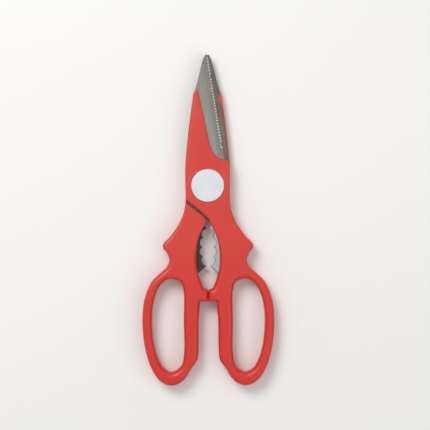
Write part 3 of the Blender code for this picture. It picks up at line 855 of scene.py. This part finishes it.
@dataclass(frozen=True)
class HalfPlan:
    """Plan of one half, in millimetres, seen on its outer side."""

    seam_gap: float = 1.5
    seam_flare: float = 1.9
    stop_gap: float = 0.3
    spine_wall: float = 1.4
    reach: float = 83.2
    tip_width: float = 1.6
    edge_at_tip: float = 0.5
    edge_at_heel: float = 10.85
    heel_y: float = 16.0
    loop_x: float = 23.4
    loop_y: float = -85.0
    loop_half_width: float = 18.5
    handle_reach: float = 126.8
    loop_top_y: float = -53.2
    loop_squareness: float = 2.1
    hole_top_y: float = -59.1
    outer_limb: float = 6.1
    end_limb: float = 8.6
    bar_inner_x: float = 5.7
    bar_width: float = 9.95
    bar_taper: float = 1.3
    bar_end: float = 16.5
    stop_top: float = -66.2
    stop_height: float = 7.4
    stop_ledge: float = 0.4
    corner_setback: float = 0.8
    hole_shoulder: float = 0.76
    hole_foot_drop: float = 3.6
    hole_foot: float = 11.0
    hole_head_drop: float = 2.2
    hole_head: float = 8.0
    cover_peak: Point = (-6.1, 60.3)
    cover_corner: Point = (-8.8, 59.1)
    jaw_heel: Point = (5.9, -55.3)
    jaw_root: Point = (2.3, -24.8)
    spine: tuple[Point, ...] = ((-8.8, 59.1), (-10.5, 46.7), (-11.7, 37.8), (-12.7, 28.9), (-13.8, 17.5),
                                (-14.2, 9.0), (-14.2, 0.0), (-14.0, -8.6))
    seam: tuple[Point, ...] = ((-13.2, -10.3), (-12.0, -11.6), (-8.8, -14.1), (-5.6, -16.7),
                               (-2.8, -19.2), (-0.2, -21.8))
    lens_side: tuple[Point, ...] = ((1.8, -24.4), (4.4, -29.6), (6.2, -34.8), (7.25, -42.5), (7.15, -50.5),
                                    (5.9, -57.2), (3.2, -64.9))
    heel_rise: tuple[Point, ...] = ((8.3, 14.2), (11.5, 9.9), (13.9, 5.6), (17.7, 1.9))
    neck: tuple[Point, ...] = ((29.4, -54.5), (26.2, -51.3), (24.6, -47.2), (26.0, -42.8), (28.4, -39.8),
                               (28.6, -37.2), (23.8, -32.0), (18.5, -24.4), (15.5, -17.5), (14.2, -11.0),
                               (14.2, 0.0), (14.2, 9.0), (14.1, 14.4))
    cover_side: tuple[Point, ...] = ((12.5, 15.9), (8.7, 16.9), (4.6, 19.7), (2.2, 23.9), (-1.1, 37.8),
                                     (-4.2, 51.8), (-6.1, 60.3))
    spine_notch: tuple[Point, ...] = ((-8.4, 58.9), (-6.3, 55.3), (-8.1, 51.4))
    blade_back_shares: tuple[Point, ...] = ((0.10, -7.6), (0.26, -6.4), (0.49, -5.0), (0.70, -3.8),
                                            (0.89, -2.5))
    # Cusp of each tooth and the deepest point of the hollow after it, which the last one lacks.
    teeth: tuple[tuple[Point, Point], ...] = (((1.1, -51.0), (4.2, -47.9)), ((3.3, -44.9), (5.3, -41.9)),
                                              ((3.5, -39.0), (5.2, -36.1)), ((2.8, -33.0), (3.9, -30.3)),
                                              ((0.6, -27.7), (0.0, 0.0)))
    tang: tuple[Point, ...] = ((9.0, -61.5), (9.0, -78.8), (10.2, -80.0), (11.8, -80.0), (13.0, -78.8),
                               (13.0, -61.5))
    tang_back: tuple[Point, ...] = ((12.8, 9.0), (12.8, -8.0), (13.6, -18.0), (16.2, -26.0),
                                    (17.4, -36.0), (16.2, -48.0))
    room_margin: float = 8.0

    @property
    def bar_outer_x(self) -> float:
        """x of the finger hole's straight side."""
        return self.bar_inner_x + self.bar_width

    def edge_x(self, y: float) -> float:
        """x of the straight cutting edge at y."""
        share = (self.reach - y) / (self.reach - self.heel_y)
        return self.edge_at_tip + (self.edge_at_heel - self.edge_at_tip) * share

    def seam_line(self, side: int) -> np.ndarray:
        """The seam's edge: side 1 is the pivot plate's, side -1 the other handle's shoulder."""
        return moved(curve(self.seam), side * self.seam_gap / 2)

    def egg(self, half_width: float, rise: float, fall: float, angles: Sequence[float]) -> list[Point]:
        """Points of the finger loop's egg shape.

        Args:
            half_width: From its middle to its side.
            rise: From its middle up to its top.
            fall: From its middle down to its end.
            angles: Places of the points, in degrees.

        Returns:
            The points.
        """
        power = 2 / self.loop_squareness
        points = []
        for angle in angles:
            across = abs(cos(radians(angle))) ** power
            up = abs(sin(radians(angle))) ** power
            reach = rise if angle > 0 else -fall
            points.append((self.loop_x + half_width * across, self.loop_y + reach * up))
        return points

    def handle_outline(self) -> np.ndarray:
        """Plan of the moulded handle, counter-clockwise.

        Returns:
            The outline's points.
        """
        face = self.stop_gap / 2
        stop_bottom = self.stop_top - self.stop_height
        bar_top = (self.bar_inner_x - self.stop_ledge, stop_bottom)
        bar_end = (self.bar_inner_x + self.bar_taper, self.bar_end - self.handle_reach)
        heel = [(x, rise - self.handle_reach) for x, rise in self.heel_rise]
        loop = self.egg(self.loop_half_width, self.loop_top_y - self.loop_y, self.loop_y + self.handle_reach,
                        (-90, -70, -50, -30, -10, 10, 30, 50))
        plate_edge = self.seam_line(1)
        return joined([
            curve(self.spine),
            np.vstack([self.spine[-1], plate_edge]),
            curve([tuple(plate_edge[-1]), *self.lens_side]),
            curve([self.lens_side[-1], (face, self.stop_top)]),
            curve([(face, self.stop_top), (face, stop_bottom)]),
            curve([(face, stop_bottom), bar_top]),
            curve([bar_top, (self.bar_inner_x + self.bar_taper / 3, self.loop_y), bar_end, *heel, *loop,
                   *self.neck]),
            curve([self.neck[-1], *self.cover_side]),
            curve([self.cover_peak, self.cover_corner]),
        ], self.corner_setback)

    def finger_hole(self) -> np.ndarray:
        """Plan of the hole in the finger loop, clockwise.

        Returns:
            The hole's points.
        """
        fall = self.loop_y + self.handle_reach - self.end_limb
        egg = self.egg(self.loop_half_width - self.outer_limb, self.hole_top_y - self.loop_y, fall,
                       (90, 68, 45, 22, 0, -22, -45, -68, -90))
        end = self.end_limb - self.handle_reach
        shoulder = self.loop_x + (self.bar_outer_x - self.loop_x) * self.hole_shoulder
        return closed_curve(egg + [(shoulder, end + self.hole_foot_drop),
                                   (self.bar_outer_x, end + self.hole_foot), (self.bar_outer_x, self.loop_y),
                                   (self.bar_outer_x, self.hole_top_y - self.hole_head),
                                   (shoulder, self.hole_top_y - self.hole_head_drop)])

    def jaw(self) -> np.ndarray:
        """The toothed side of the jaw, from its root down to its heel.

        Returns:
            Its points.
        """
        rows = [np.array([self.jaw_heel])]
        for (cusp, hollow), (after, _) in zip(self.teeth, self.teeth[1:]):
            rows.append(arc_through(cusp, hollow, after, TOOTH_STEPS))
        rows.append(np.array([self.teeth[-1][0], self.jaw_root]))
        return np.vstack(rows)[::-1]

    def steel_outline(self) -> np.ndarray:
        """Plan of the stamping, counter-clockwise from the tip down its back.

        Returns:
            The outline's points.
        """
        notch_x, notch_y = self.spine_notch[0]
        back = [(x, notch_y + share * (self.reach - notch_y)) for share, x in self.blade_back_shares]
        tip = (self.edge_at_tip - self.tip_width, self.reach)
        edge = curve([(self.edge_x(self.heel_y), self.heel_y), (self.edge_at_tip, self.reach)])
        return np.vstack([
            curve([tip, *back[::-1], (notch_x, notch_y)]),
            self.spine_notch[1:],
            moved(curve(self.spine[1:]), self.spine_wall),
            moved(self.seam_line(1)[1:], self.spine_wall),
            self.jaw(),
            self.tang,
            curve(self.tang_back[::-1]),
            edge,
        ])

    def other_half_room(self) -> np.ndarray:
        """Plan of the room that the other half's pivot plate and blade turn in.

        Returns:
            The room's points.
        """
        shoulder = mirrored(self.seam_line(-1))
        shoulder[0, 1] -= self.seam_flare
        start = shoulder[0] - shoulder[1]
        end = shoulder[-1] - shoulder[-2]
        low = shoulder[0] + start / np.linalg.norm(start) * self.room_margin
        high = shoulder[-1] + end / np.linalg.norm(end) * self.room_margin
        side = self.loop_x + self.loop_half_width + self.room_margin
        top = self.reach + self.room_margin
        return np.vstack([low, shoulder, high, (side, high[1]), (side, top), (-side, top), (-side, low[1])])


# ------------------------------------------------------------------ sub-assemblies


def place_piece(name: str, mesh: bpy.types.Mesh, half: Half, node: str,
                sharp: float = 32.0) -> bpy.types.Object:
    """Puts a finished piece on its half, in the place of its CAD node.

    Args:
        name: Name of the piece.
        mesh: Its mesh, in the half's own frame, with its materials.
        half: The half that carries it.
        node: The CAD node that it stands for.
        sharp: Least angle between two faces that shows as an edge, in degrees.

    Returns:
        The piece.
    """
    mesh = mesh.copy()
    mesh.name = name
    lift = Matrix.Translation((0, 0, Heights().outer * MM))
    mesh.transform(lift @ Matrix.Rotation(pi if half is Half.REAR else 0.0, 4, "Y"))
    mesh.shade_smooth()
    mesh.set_sharp_from_angle(angle=radians(sharp))
    piece = shown(name, mesh)
    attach(piece, half.value)
    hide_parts(node)
    log.info("%s rides on %s with %d faces", name, half.value, len(mesh.polygons))
    return piece


@dataclass
class HandleMoulding:
    """Red moulding of each half: blade cover, pivot plate, jaw side and finger loop."""

    plan: HalfPlan
    heights: Heights
    finish: MouldedPlastic
    # Inside plastic for the inner faces on the mating plane: rougher, and darker as painted shade.
    inside_finish_and_shade: MouldedPlastic
    cover_round: float = 1.2
    loop_round: float = 3.3
    ramp_top: float = -20.0
    ramp_end: float = -52.0
    crown: float = 0.16
    crown_width: float = 7.0
    rim_steps: int = 10
    rim_gap: float = 0.7
    rim_true: float = 0.98
    rim_soft: float = 0.9
    grid: float = 2.0
    row_share: float = 0.87
    fit: float = 0.04
    pocket_depth: float = 0.3
    side_band: float = 0.3
    bore_radius: float = 8.3
    parting_ridge: float = 0.05
    past: float = 14.0
    facing_down: float = -0.9

    def ramp(self, y: np.ndarray) -> np.ndarray:
        """0 on the pivot plate and 1 at the loops, with a smooth change between."""
        t = np.clip((self.ramp_top - y) / (self.ramp_top - self.ramp_end), 0, 1)
        return t * t * (3 - 2 * t)

    def rounding(self, y: np.ndarray) -> np.ndarray:
        """Radius of the rounded edges at y."""
        return self.cover_round + (self.loop_round - self.cover_round) * self.ramp(y)

    def surface(self, points: np.ndarray, depth: np.ndarray) -> np.ndarray:
        """Height of the outer face.

        Args:
            points: Points in plan.
            depth: How far each lies from the outline.

        Returns:
            The heights.
        """
        y = points[:, 1]
        top = self.heights.cover + (self.heights.outer - self.heights.cover) * self.ramp(y)
        radius = self.rounding(y)
        drop = 1 - np.clip(depth / radius, 0, 1)
        crown = 1 - np.clip(depth / self.crown_width, 0, 1)
        return top - radius * (1 - np.sqrt(1 - drop ** 2)) - self.crown * crown ** 2

    def rings(self, loops: Sequence[np.ndarray]) -> tuple[np.ndarray, list[tuple[int, int]]]:
        """Lays the lines that carry the rounded edges.

        Args:
            loops: The outline and the finger hole.

        Returns:
            The lines' points, and the sides that join them.
        """
        spots, lines, start = [], [], 0
        for loop in loops:
            inward = lefts(loop)
            radius = self.rounding(loop[:, 1])
            for step in range(1, self.rim_steps + 1):
                depth = radius * (1 - cos(pi / 2 * step / self.rim_steps))
                ring = loop + inward * depth[:, None]
                true = distance_to(ring, loops)
                soft = soft_distance(ring, loops, true)
                good = (true > depth * self.rim_true) & (soft > depth * self.rim_soft)
                ids = np.cumsum(good) - 1 + start
                spots.append(ring[good])
                for k in range(len(ring)):
                    after = (k + 1) % len(ring)
                    if good[k] and good[after]:
                        lines.append((int(ids[k]), int(ids[after])))
                start += int(good.sum())
        return np.vstack(spots), lines

    def middle(self, loops: Sequence[np.ndarray]) -> np.ndarray:
        """Even grid of points between the rounded edges.

        Args:
            loops: The outline and the finger hole.

        Returns:
            The points.
        """
        low, high = loops[0].min(0), loops[0].max(0)
        columns = np.arange(low[0], high[0], self.grid)
        rows = np.arange(low[1], high[1], self.grid * self.row_share)
        spots = np.array([(x + self.grid / 2 * (k % 2), y) for k, y in enumerate(rows) for x in columns])
        spots = spots[inside(spots, loops[0]) & ~inside(spots, loops[1])]
        depth = distance_to(spots, loops)
        return spots[depth > self.rounding(spots[:, 1]) + self.rim_gap]

    def block(self) -> bpy.types.Mesh:
        """The moulding before its pockets are cut.

        Returns:
            The closed mesh.
        """
        loops = [self.plan.handle_outline(), self.plan.finger_hole()]
        rims, lines = self.rings(loops)
        spots, triangles, rim = filled(loops, np.vstack([rims, self.middle(loops)]), lines)
        depth = distance_to(spots, loops)
        depth[rim] = 0
        height = self.surface(spots, soft_distance(spots, loops, depth))
        count = len(spots)
        points = [np.column_stack([spots, height]), np.column_stack([spots, -height])]
        faces = list(triangles) + [tri[::-1] + count for tri in triangles]
        start, first = 2 * count, 0
        for loop in loops:
            top = np.array(rim[first:first + len(loop)])
            first += len(loop)
            ids = [top]
            for level, ridge in ((self.side_band, 0.0), (0.0, self.parting_ridge), (-self.side_band, 0.0)):
                points.append(np.column_stack([loop - lefts(loop) * ridge, np.full(len(loop), level)]))
                ids.append(np.arange(start, start + len(loop)))
                start += len(loop)
            ids.append(top + count)
            for above, below in zip(ids, ids[1:]):
                faces += [(below[k], below[k - len(top) + 1], above[k - len(top) + 1], above[k])
                          for k in range(len(top))]
        return mesh_from("handle_block", np.vstack(points), faces)

    def build(self) -> None:
        """Makes both mouldings."""
        heights = self.heights
        steel = moved(self.plan.steel_outline(), -self.fit, closed=True)
        cutters = [
            slab("room", [self.plan.other_half_room()], -self.past, heights.mating),
            slab("pocket", [steel], heights.mating - self.pocket_depth, heights.steel + self.fit),
            slab("bore", [circle(self.bore_radius)], 0.0, self.past),
        ]
        mesh = carved("handle", self.block(), cutters)
        mesh.materials.clear()
        for finish in (self.finish, self.inside_finish_and_shade):
            mesh.materials.append(finish.material())
        # Faces on the mating plane that face inwards take the inside plastic, whose darker red is painted
        # shade.
        for face in mesh.polygons:
            level = abs(face.center.z / MM - heights.mating) < self.fit
            face.material_index = int(level and face.normal.z < self.facing_down)
        for half in Half:
            place_piece(f"{half.side}_handle_moulding", mesh, half, f"{half.side}_handle")


@dataclass
class EdgeTree:
    """Geometry Nodes that grind the bevel of a blade and cut the row of notches into its edge."""

    name: str = "ground_edge"
    wedge_room: float = 20.0
    wedge_lead: float = 0.8
    bar_sides: int = 24
    bar_length: float = 4.4
    bar_sizes: tuple[float, float] = (0.97, 1.03)
    facing_down: float = -0.5
    inputs: dict[str, str] = field(default_factory=dict)

    def build(self) -> bpy.types.NodeTree:
        """Makes the tree, with a named input for each size.

        Returns:
            The tree.
        """
        tree = bpy.data.node_groups.new(self.name, "GeometryNodeTree")
        recipe = Recipe(tree)
        kinds = {
            "Geometry": ("Geometry",),
            "Vector": ("Heel", "Edge Turn", "Bevel Turn", "Notch Place", "Notch Turn"),
            "Float": ("Edge Length", "Edge Thickness", "Notch Pitch", "First Notch", "Notch Radius",
                      "Jaw Top"),
            "Int": ("Notch Count", "Seed"),
            "Material": ("Flat Steel", "Inner Steel Painted Shade", "Ground Steel", "Notch Steel Painted Glint", "Jaw Steel"),
        }
        for kind, labels in kinds.items():
            for label in labels:
                socket = tree.interface.new_socket(label, in_out="INPUT", socket_type=f"NodeSocket{kind}")
                self.inputs[label] = socket.identifier
        tree.interface.new_socket("Geometry", in_out="OUTPUT", socket_type="NodeSocketGeometry")
        given = recipe.add("NodeGroupInput").outputs
        cut = recipe.add("GeometryNodeMeshBoolean", {0: given["Geometry"]}, operation="DIFFERENCE",
                         solver="EXACT")
        for cutter in (self.wedge(recipe, given), self.notches(recipe, given)):
            tree.links.new(cutter, cut.inputs[1])
        whole = recipe.add("GeometryNodeRealizeInstances", {0: cut.outputs[0]}).outputs[0]
        place = recipe.add("GeometryNodeInputPosition").outputs[0]
        facing = recipe.add("GeometryNodeInputNormal").outputs["Normal"]
        recipe.add("NodeGroupOutput", {0: self.painted(recipe, given, whole, {
            "Flat Steel": True,
            "Jaw Steel": recipe.below(recipe.axis(place, "Y"), given["Jaw Top"]),
            # Inner steel goes on the faces that look inwards; its dark colour is painted shade, darker still on
            # the jaws.
            "Inner Steel Painted Shade": recipe.below(recipe.axis(facing, "Z"), self.facing_down),
            "Ground Steel": self.mark_of(recipe, "ground"),
            # Notch steel: near-white colour as a painted glint on the notch faces, on top of their smoother
            # grind.
            "Notch Steel Painted Glint": self.mark_of(recipe, "notch"),
        })})
        return tree

    def painted(self, recipe: Recipe, given: object, geometry: object, chosen: dict) -> object:
        """Gives the faces their steels, each over the ones before it.

        Args:
            recipe: Recipe of the tree.
            given: The tree's inputs.
            geometry: Socket of the stamping.
            chosen: Which faces get each steel, by the steel's input.

        Returns:
            The dressed stamping's output socket.
        """
        for steel, faces in chosen.items():
            geometry = recipe.add("GeometryNodeSetMaterial",
                                  {"Geometry": geometry, "Selection": faces,
                                   "Material": given[steel]}).outputs[0]
        return geometry

    def mark_of(self, recipe: Recipe, mark: str) -> object:
        """True on the faces that a marked cutter left."""
        return recipe.add("GeometryNodeInputNamedAttribute", {"Name": mark}, data_type="BOOLEAN").outputs[0]

    def marked(self, recipe: Recipe, geometry: object, mark: str) -> object:
        """Marks every face of a cutter, so that the faces that it leaves can be told apart.

        Args:
            recipe: Recipe of the tree.
            geometry: Socket of the cutter.
            mark: Name of the mark.

        Returns:
            The marked cutter's output socket.
        """
        store = recipe.add("GeometryNodeStoreNamedAttribute", {"Geometry": geometry, "Name": mark},
                           data_type="BOOLEAN", domain="FACE")
        next(s for s in store.inputs if s.name == "Value" and s.enabled).default_value = True
        return store.outputs[0]

    def wedge(self, recipe: Recipe, given: object) -> object:
        """Block whose underside is the bevel.

        Args:
            recipe: Recipe of the tree.
            given: The tree's inputs.

        Returns:
            The block's output socket.
        """
        room = self.wedge_room * MM
        length = recipe.calc("ADD", given["Edge Length"], room)
        size = recipe.vector(X=room, Y=length, Z=room)
        cube = recipe.add("GeometryNodeMeshCube", {"Size": size}).outputs[0]
        raised = recipe.placed(cube, (0, 0, room / 2))
        middle = recipe.calc("SUBTRACT", recipe.calc("MULTIPLY", length, 0.5), self.wedge_lead * MM)
        spot = recipe.vector(Y=middle, Z=given["Edge Thickness"])
        tilted = recipe.placed(raised, spot, given["Bevel Turn"])
        return recipe.placed(self.marked(recipe, tilted, "ground"), given["Heel"], given["Edge Turn"])

    def notches(self, recipe: Recipe, given: object) -> object:
        """Row of round bars that the notches are ground out by.

        Args:
            recipe: Recipe of the tree.
            given: The tree's inputs.

        Returns:
            The bars' output socket.
        """
        bar = recipe.add("GeometryNodeMeshCylinder",
                         {"Vertices": self.bar_sides, "Radius": given["Notch Radius"],
                          "Depth": self.bar_length * MM}).outputs[0]
        laid = self.marked(recipe, recipe.placed(bar, given["Notch Place"], given["Notch Turn"]), "notch")
        first = recipe.vector(Y=given["First Notch"])
        step = recipe.vector(Y=given["Notch Pitch"])
        line = recipe.add("GeometryNodeMeshLine", {"Count": given["Notch Count"], "Start Location": first,
                                                   "Offset": step}).outputs[0]
        low, high = self.bar_sizes
        size = recipe.add("FunctionNodeRandomValue", {2: low, 3: high, "Seed": given["Seed"]},
                          data_type="FLOAT").outputs[1]
        row = recipe.add("GeometryNodeInstanceOnPoints",
                         {"Points": line, "Instance": laid, "Scale": size}).outputs[0]
        real = recipe.add("GeometryNodeRealizeInstances", {0: row}).outputs[0]
        return recipe.placed(real, given["Heel"], given["Edge Turn"])


@dataclass
class BladeStamping:
    """Steel stamping of each half: blade, toothed jaw and tang."""

    plan: HalfPlan
    heights: Heights
    hole_radius: float = 2.6
    grind_width: float = 4.05
    edge_thickness: float = 0.35
    # These three run along the slanted edge, and so are a little longer than along the blade.
    pitch: float = 1.9
    plain_at_heel: float = 8.6
    plain_at_tip: float = 2.0
    notch_depth: float = 0.18
    notch_slope: float = radians(41)
    notch_radius: float = 0.8
    notch_slide: float = 0.4
    rim: float = 0.14
    inner_rim: float = 0.04
    jaw_rim: float = 0.5
    jaw_top: float = -22.0
    jaw_fade: float = 4.0
    jaw_side_x: float = 10.0
    jaw_side_fade: float = 2.0
    sharp: float = 20.0
    seed: int = 5

    def chamfer(self, x: np.ndarray, y: np.ndarray) -> np.ndarray:
        """Width of the outer rim's chamfer: wide on the jaw and fine elsewhere.

        Args:
            x: The points' places across the half.
            y: Their places along it.

        Returns:
            The widths.
        """
        down = np.clip((self.jaw_top - y) / self.jaw_fade, 0, 1)
        share = down * np.clip((self.jaw_side_x - x) / self.jaw_side_fade, 0, 1)
        return self.rim + (self.jaw_rim - self.rim) * share

    def finishes(self, half: Half) -> dict[str, BrushedSteel]:
        """Finish of each kind of face.

        Args:
            half: The half whose stamping it is.

        Returns:
            The finishes by the edge tree's inputs.
        """
        turn = self.edge_turn() * (1 if half is Half.FRONT else -1)
        side = half.side
        jaw = ((194, 199, 205), (168, 172, 178))
        return {
            "Flat Steel": BrushedSteel(f"{side}_satin_steel", (152, 148, 139), (135, 130, 123), Grain.ALONG,
                                       far=(149, 149, 147), reach=(0.055, 0.025)),
            # Inner steel: painted shade on the faces where the halves meet, darker still on the jaws.
            "Inner Steel Painted Shade": BrushedSteel(f"{side}_inner_steel_painted_shade", (117, 112, 101), (98, 93, 84),
                                        Grain.SCUFFED, 0.42, far=(65, 57, 55)),
            "Ground Steel": BrushedSteel(f"{side}_ground_steel", (150, 147, 139), (134, 130, 122),
                                         Grain.ACROSS, 0.3, -turn),
            # Notch steel: its near-white colour is a painted glint; the lower roughness is the finer grind.
            "Notch Steel Painted Glint": BrushedSteel(f"{side}_notch_steel_painted_glint", (238, 236, 232), (214, 211, 206),
                                        Grain.SCUFFED, 0.28, 0.0, 0.2),
            "Jaw Steel": BrushedSteel(f"{side}_jaw_steel", *jaw, Grain.ALONG, 0.3),
        }

    def edge_turn(self) -> float:
        """Angle of the cutting edge from the long axis."""
        plan = self.plan
        return atan2(plan.edge_at_heel - plan.edge_at_tip, plan.reach - plan.heel_y)

    def build(self) -> None:
        """Makes both stampings."""
        heights, plan = self.heights, self.plan
        outline = [plan.steel_outline(), circle(self.hole_radius)[::-1]]
        blank = plate("blank", outline, heights.mating, heights.steel, self.chamfer, self.inner_rim)
        edge = EdgeTree()
        tree = edge.build()
        length = hypot(plan.edge_at_heel - plan.edge_at_tip, plan.reach - plan.heel_y)
        free = length - self.plain_at_heel - self.plain_at_tip
        thickness = heights.steel - heights.mating
        bevel = atan2(thickness - self.edge_thickness, self.grind_width)
        slope, radius = self.notch_slope, self.notch_radius
        slide = self.notch_slide
        place = Vector((-self.notch_depth + radius * sin(slope) - slide * cos(slope), 0,
                        radius * cos(slope) + slide * sin(slope))) * MM
        for half in Half:
            finishes = self.finishes(half)
            values = {
                "Heel": Vector((plan.edge_x(plan.heel_y), plan.heel_y, heights.mating)) * MM,
                "Edge Turn": (0, 0, self.edge_turn()),
                "Edge Length": length * MM,
                "Bevel Turn": (0, bevel, 0),
                "Edge Thickness": self.edge_thickness * MM,
                "Notch Count": int(free / self.pitch) + 1 if half is Half.FRONT else 0,
                "Notch Pitch": self.pitch * MM,
                "First Notch": self.plain_at_heel * MM,
                "Notch Radius": radius * MM,
                "Notch Place": place,
                "Notch Turn": (0, slope - pi / 2, 0),
                "Seed": self.seed,
                "Jaw Top": self.jaw_top * MM,
                **{label: finish.material() for label, finish in finishes.items()},
            }

            def dress(block: bpy.types.Object, values: dict = values) -> None:
                """Sets the tree and its inputs.

                Args:
                    block: Object of the blank.
                    values: Value of each of the tree's inputs.
                """
                grind = block.modifiers.new("ground_edge", "NODES")
                grind.node_group = tree
                for label, value in values.items():
                    grind[edge.inputs[label]] = value

            mesh = evaluated(f"{half.side}_stamping", blank.copy(), dress)
            place_piece(f"{half.side}_blade_stamping", mesh, half, f"{half.side}_blade",
                        self.sharp)


@dataclass
class PivotCap:
    """White cap over each end of the pivot."""

    heights: Heights
    finish: MouldedPlastic
    radius: float = 10.35
    flat_radius: float = 5.0
    rim_round: float = 0.5
    drop: float = 0.32
    wall: float = 1.05
    skirt_radius: float = 8.0
    skirt_wall: float = 1.0
    foot_gap: float = 0.3
    lift: float = 0.12
    centre_radius: float = 2.4
    rim_steps: int = 8
    dome_steps: int = 14
    sharp: float = 40.0

    def profile(self) -> list[Point]:
        """Pairs of radius and height, counter-clockwise.

        Returns:
            The cap's profile.
        """
        top = self.heights.outer
        rim = self.heights.cover + self.lift
        inner = self.skirt_radius - self.skirt_wall
        foot = self.heights.steel + self.foot_gap
        shoulder = self.radius - self.rim_round
        pairs = [(0, top - self.wall), (inner, top - self.wall), (inner, foot), (self.skirt_radius, foot),
                 (self.skirt_radius, rim), (self.radius, rim)]
        for step in range(self.rim_steps + 1):
            angle = pi / 2 * step / self.rim_steps
            pairs.append((shoulder + self.rim_round * cos(angle),
                          top - self.drop - self.rim_round * (1 - sin(angle))))
        for step in reversed(range(self.dome_steps)):
            share = step / self.dome_steps
            pairs.append((self.flat_radius + (shoulder - self.flat_radius) * share,
                          top - self.drop * share ** 2))
        return pairs + [(self.centre_radius, top), (0, top)]

    def build(self) -> None:
        """Makes both caps."""
        mesh = turned("pivot_cap", self.profile())
        mesh.materials.append(self.finish.material())
        for half in Half:
            place_piece(f"{half.side}_pivot_cover", mesh, half, f"{half.side}_pivot_cap",
                        self.sharp)


@dataclass
class PivotHardware:
    """Bolt, nut and washers inside the pivot, which keep their CAD shapes."""

    finishes: dict[str, BrushedSteel] = field(default_factory=lambda: {
        "pivot_bolt": BrushedSteel("bolt_steel", (182, 184, 188), (160, 162, 166), Grain.SCUFFED, 0.26),
        "pivot_nut": BrushedSteel("nut_steel", (176, 178, 180), (152, 154, 157), Grain.SCUFFED, 0.3),
        "spring_washer": BrushedSteel("spring_steel", (150, 148, 142), (122, 120, 114), Grain.SCUFFED, 0.34),
        "flat_washer": BrushedSteel("washer_steel", (184, 186, 190), (164, 166, 170), Grain.SCUFFED, 0.28),
    })

    def build(self) -> None:
        """Gives each carried-over node its steel."""
        for node, finish in self.finishes.items():
            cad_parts[node].material_slots[0].material = finish.material()
            log.info("%s keeps its shape and gets %s", node, finish.name)


@dataclass
class Studio:
    """Pale floor, soft light and a camera straight above."""

    floor: PaleFloor = field(default_factory=PaleFloor)
    floor_side: float = 5000.0
    view_width: float = 272.8
    view_centre: Point = (4.53, -18.67)
    view_roll: float = radians(-0.3)
    view_height: float = 8.0
    lens: float = 120.0
    far_clip: float = 10.0
    daylight: float = 0.62
    horizon: float = 0.72
    full_height: float = 0.8
    backdrop: float = 0.96

    def build(self) -> None:
        """Makes the surroundings."""
        self.lay_floor()
        self.light()
        self.shine("key_light", (-0.42, 0.55, 0.85), 0.55, 6.5)
        self.shine("fill_light", (0.7, -0.35, 0.7), 0.9, 1.6)
        self.aim_camera()
        bpy.context.scene.view_settings.view_transform = "Standard"

    def lay_floor(self) -> None:
        """The floor that the scissors lie on."""
        far = self.floor_side / 2
        corners = np.array([(-far, -far, 0), (far, -far, 0), (far, far, 0), (-far, far, 0)])
        mesh = mesh_from("floor", corners, [(0, 1, 2, 3)])
        mesh.materials.append(self.floor.material())
        ground = shown("floor", mesh)
        ground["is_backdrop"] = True

    def light(self) -> None:
        """Even daylight; the camera and reflections see it at full white, a little darker low down."""
        world = bpy.data.worlds.new("daylight")
        bpy.context.scene.world = world
        world.use_nodes = True
        recipe = Recipe(world.node_tree)
        height = recipe.axis(recipe.add("ShaderNodeTexCoord").outputs["Generated"], "Z")
        level = recipe.level(height, 0.0, self.full_height, self.horizon, 1.0)
        path = recipe.add("ShaderNodeLightPath").outputs
        seen = recipe.calc("MAXIMUM", path["Is Glossy Ray"], path["Is Transmission Ray"])
        strength = recipe.add("ShaderNodeMix", {0: seen, 2: self.daylight, 3: 1.0}).outputs[0]
        graded = recipe.calc("MULTIPLY", strength, level)
        final = recipe.add("ShaderNodeMix", {0: path["Is Camera Ray"], 2: graded, 3: self.backdrop})
        recipe.feed(world.node_tree.nodes["Background"],
                    {"Color": (1.0, 1.0, 1.0, 1.0), "Strength": final.outputs[0]})

    def shine(self, name: str, place: tuple[float, float, float], size: float, power: float) -> None:
        """Adds one soft lamp that points at the scissors.

        Args:
            name: Name of the lamp.
            place: Where it hangs, in metres.
            size: Its width.
            power: Its power in watts.
        """
        lamp = bpy.data.lights.new(name, "AREA")
        lamp.shape = "DISK"
        lamp.size = size
        lamp.energy = power
        holder = shown(name, lamp)
        holder.location = place
        holder.rotation_euler = (-Vector(place)).to_track_quat("-Z", "Y").to_euler()

    def aim_camera(self) -> None:
        """Camera straight above, with the picture's frame."""
        lens = bpy.data.cameras.new("camera")
        lens.lens = self.lens
        lens.clip_end = self.far_clip
        camera = shown("camera", lens)
        distance = self.view_width / lens.sensor_width * self.lens
        camera.location = Vector((*self.view_centre, distance + self.view_height)) * MM
        camera.rotation_euler = (0.0, 0.0, self.view_roll)
        bpy.context.scene.camera = camera


def main() -> None:
    """Builds the sub-assemblies in order."""
    logging.basicConfig(level=logging.INFO, format="%(message)s")
    plan, heights = HalfPlan(), Heights()
    # The red's far colour is painted shade: the handle darkens and deepens towards the finger loops.
    red = MouldedPlastic("red_plastic", (205, 67, 56), (199, 59, 50), 0.34, (203, 43, 35), gloss=0.38)
    # Inside red for the mating faces: a rougher finish, with painted shade in its darker colour and, further
    # down, in its far colour.
    dull_shaded_red = MouldedPlastic("red_plastic_inside_painted_shade", (188, 82, 69), (174, 75, 64), 0.55, far=(144, 76, 66),
                              reach=(0.056, 0.049), gloss=0.3)
    white = MouldedPlastic("white_plastic", (217, 220, 224), (209, 212, 217), 0.26, scratches=0.2)
    HandleMoulding(plan, heights, red, dull_shaded_red).build()
    BladeStamping(plan, heights).build()
    PivotCap(heights, white).build()
    PivotHardware().build()
    Studio().build()
    sizes = {"cad": [list(corner) for corner in CAD_BOX], "scene": [list(corner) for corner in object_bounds()]}
    spans = [[round((b - a) / MM, 2) for a, b in zip(*box)] for box in sizes.values()]
    log.info("frame %s, scene %s in millimetres", *spans)


if __name__ == "__main__":
    main()
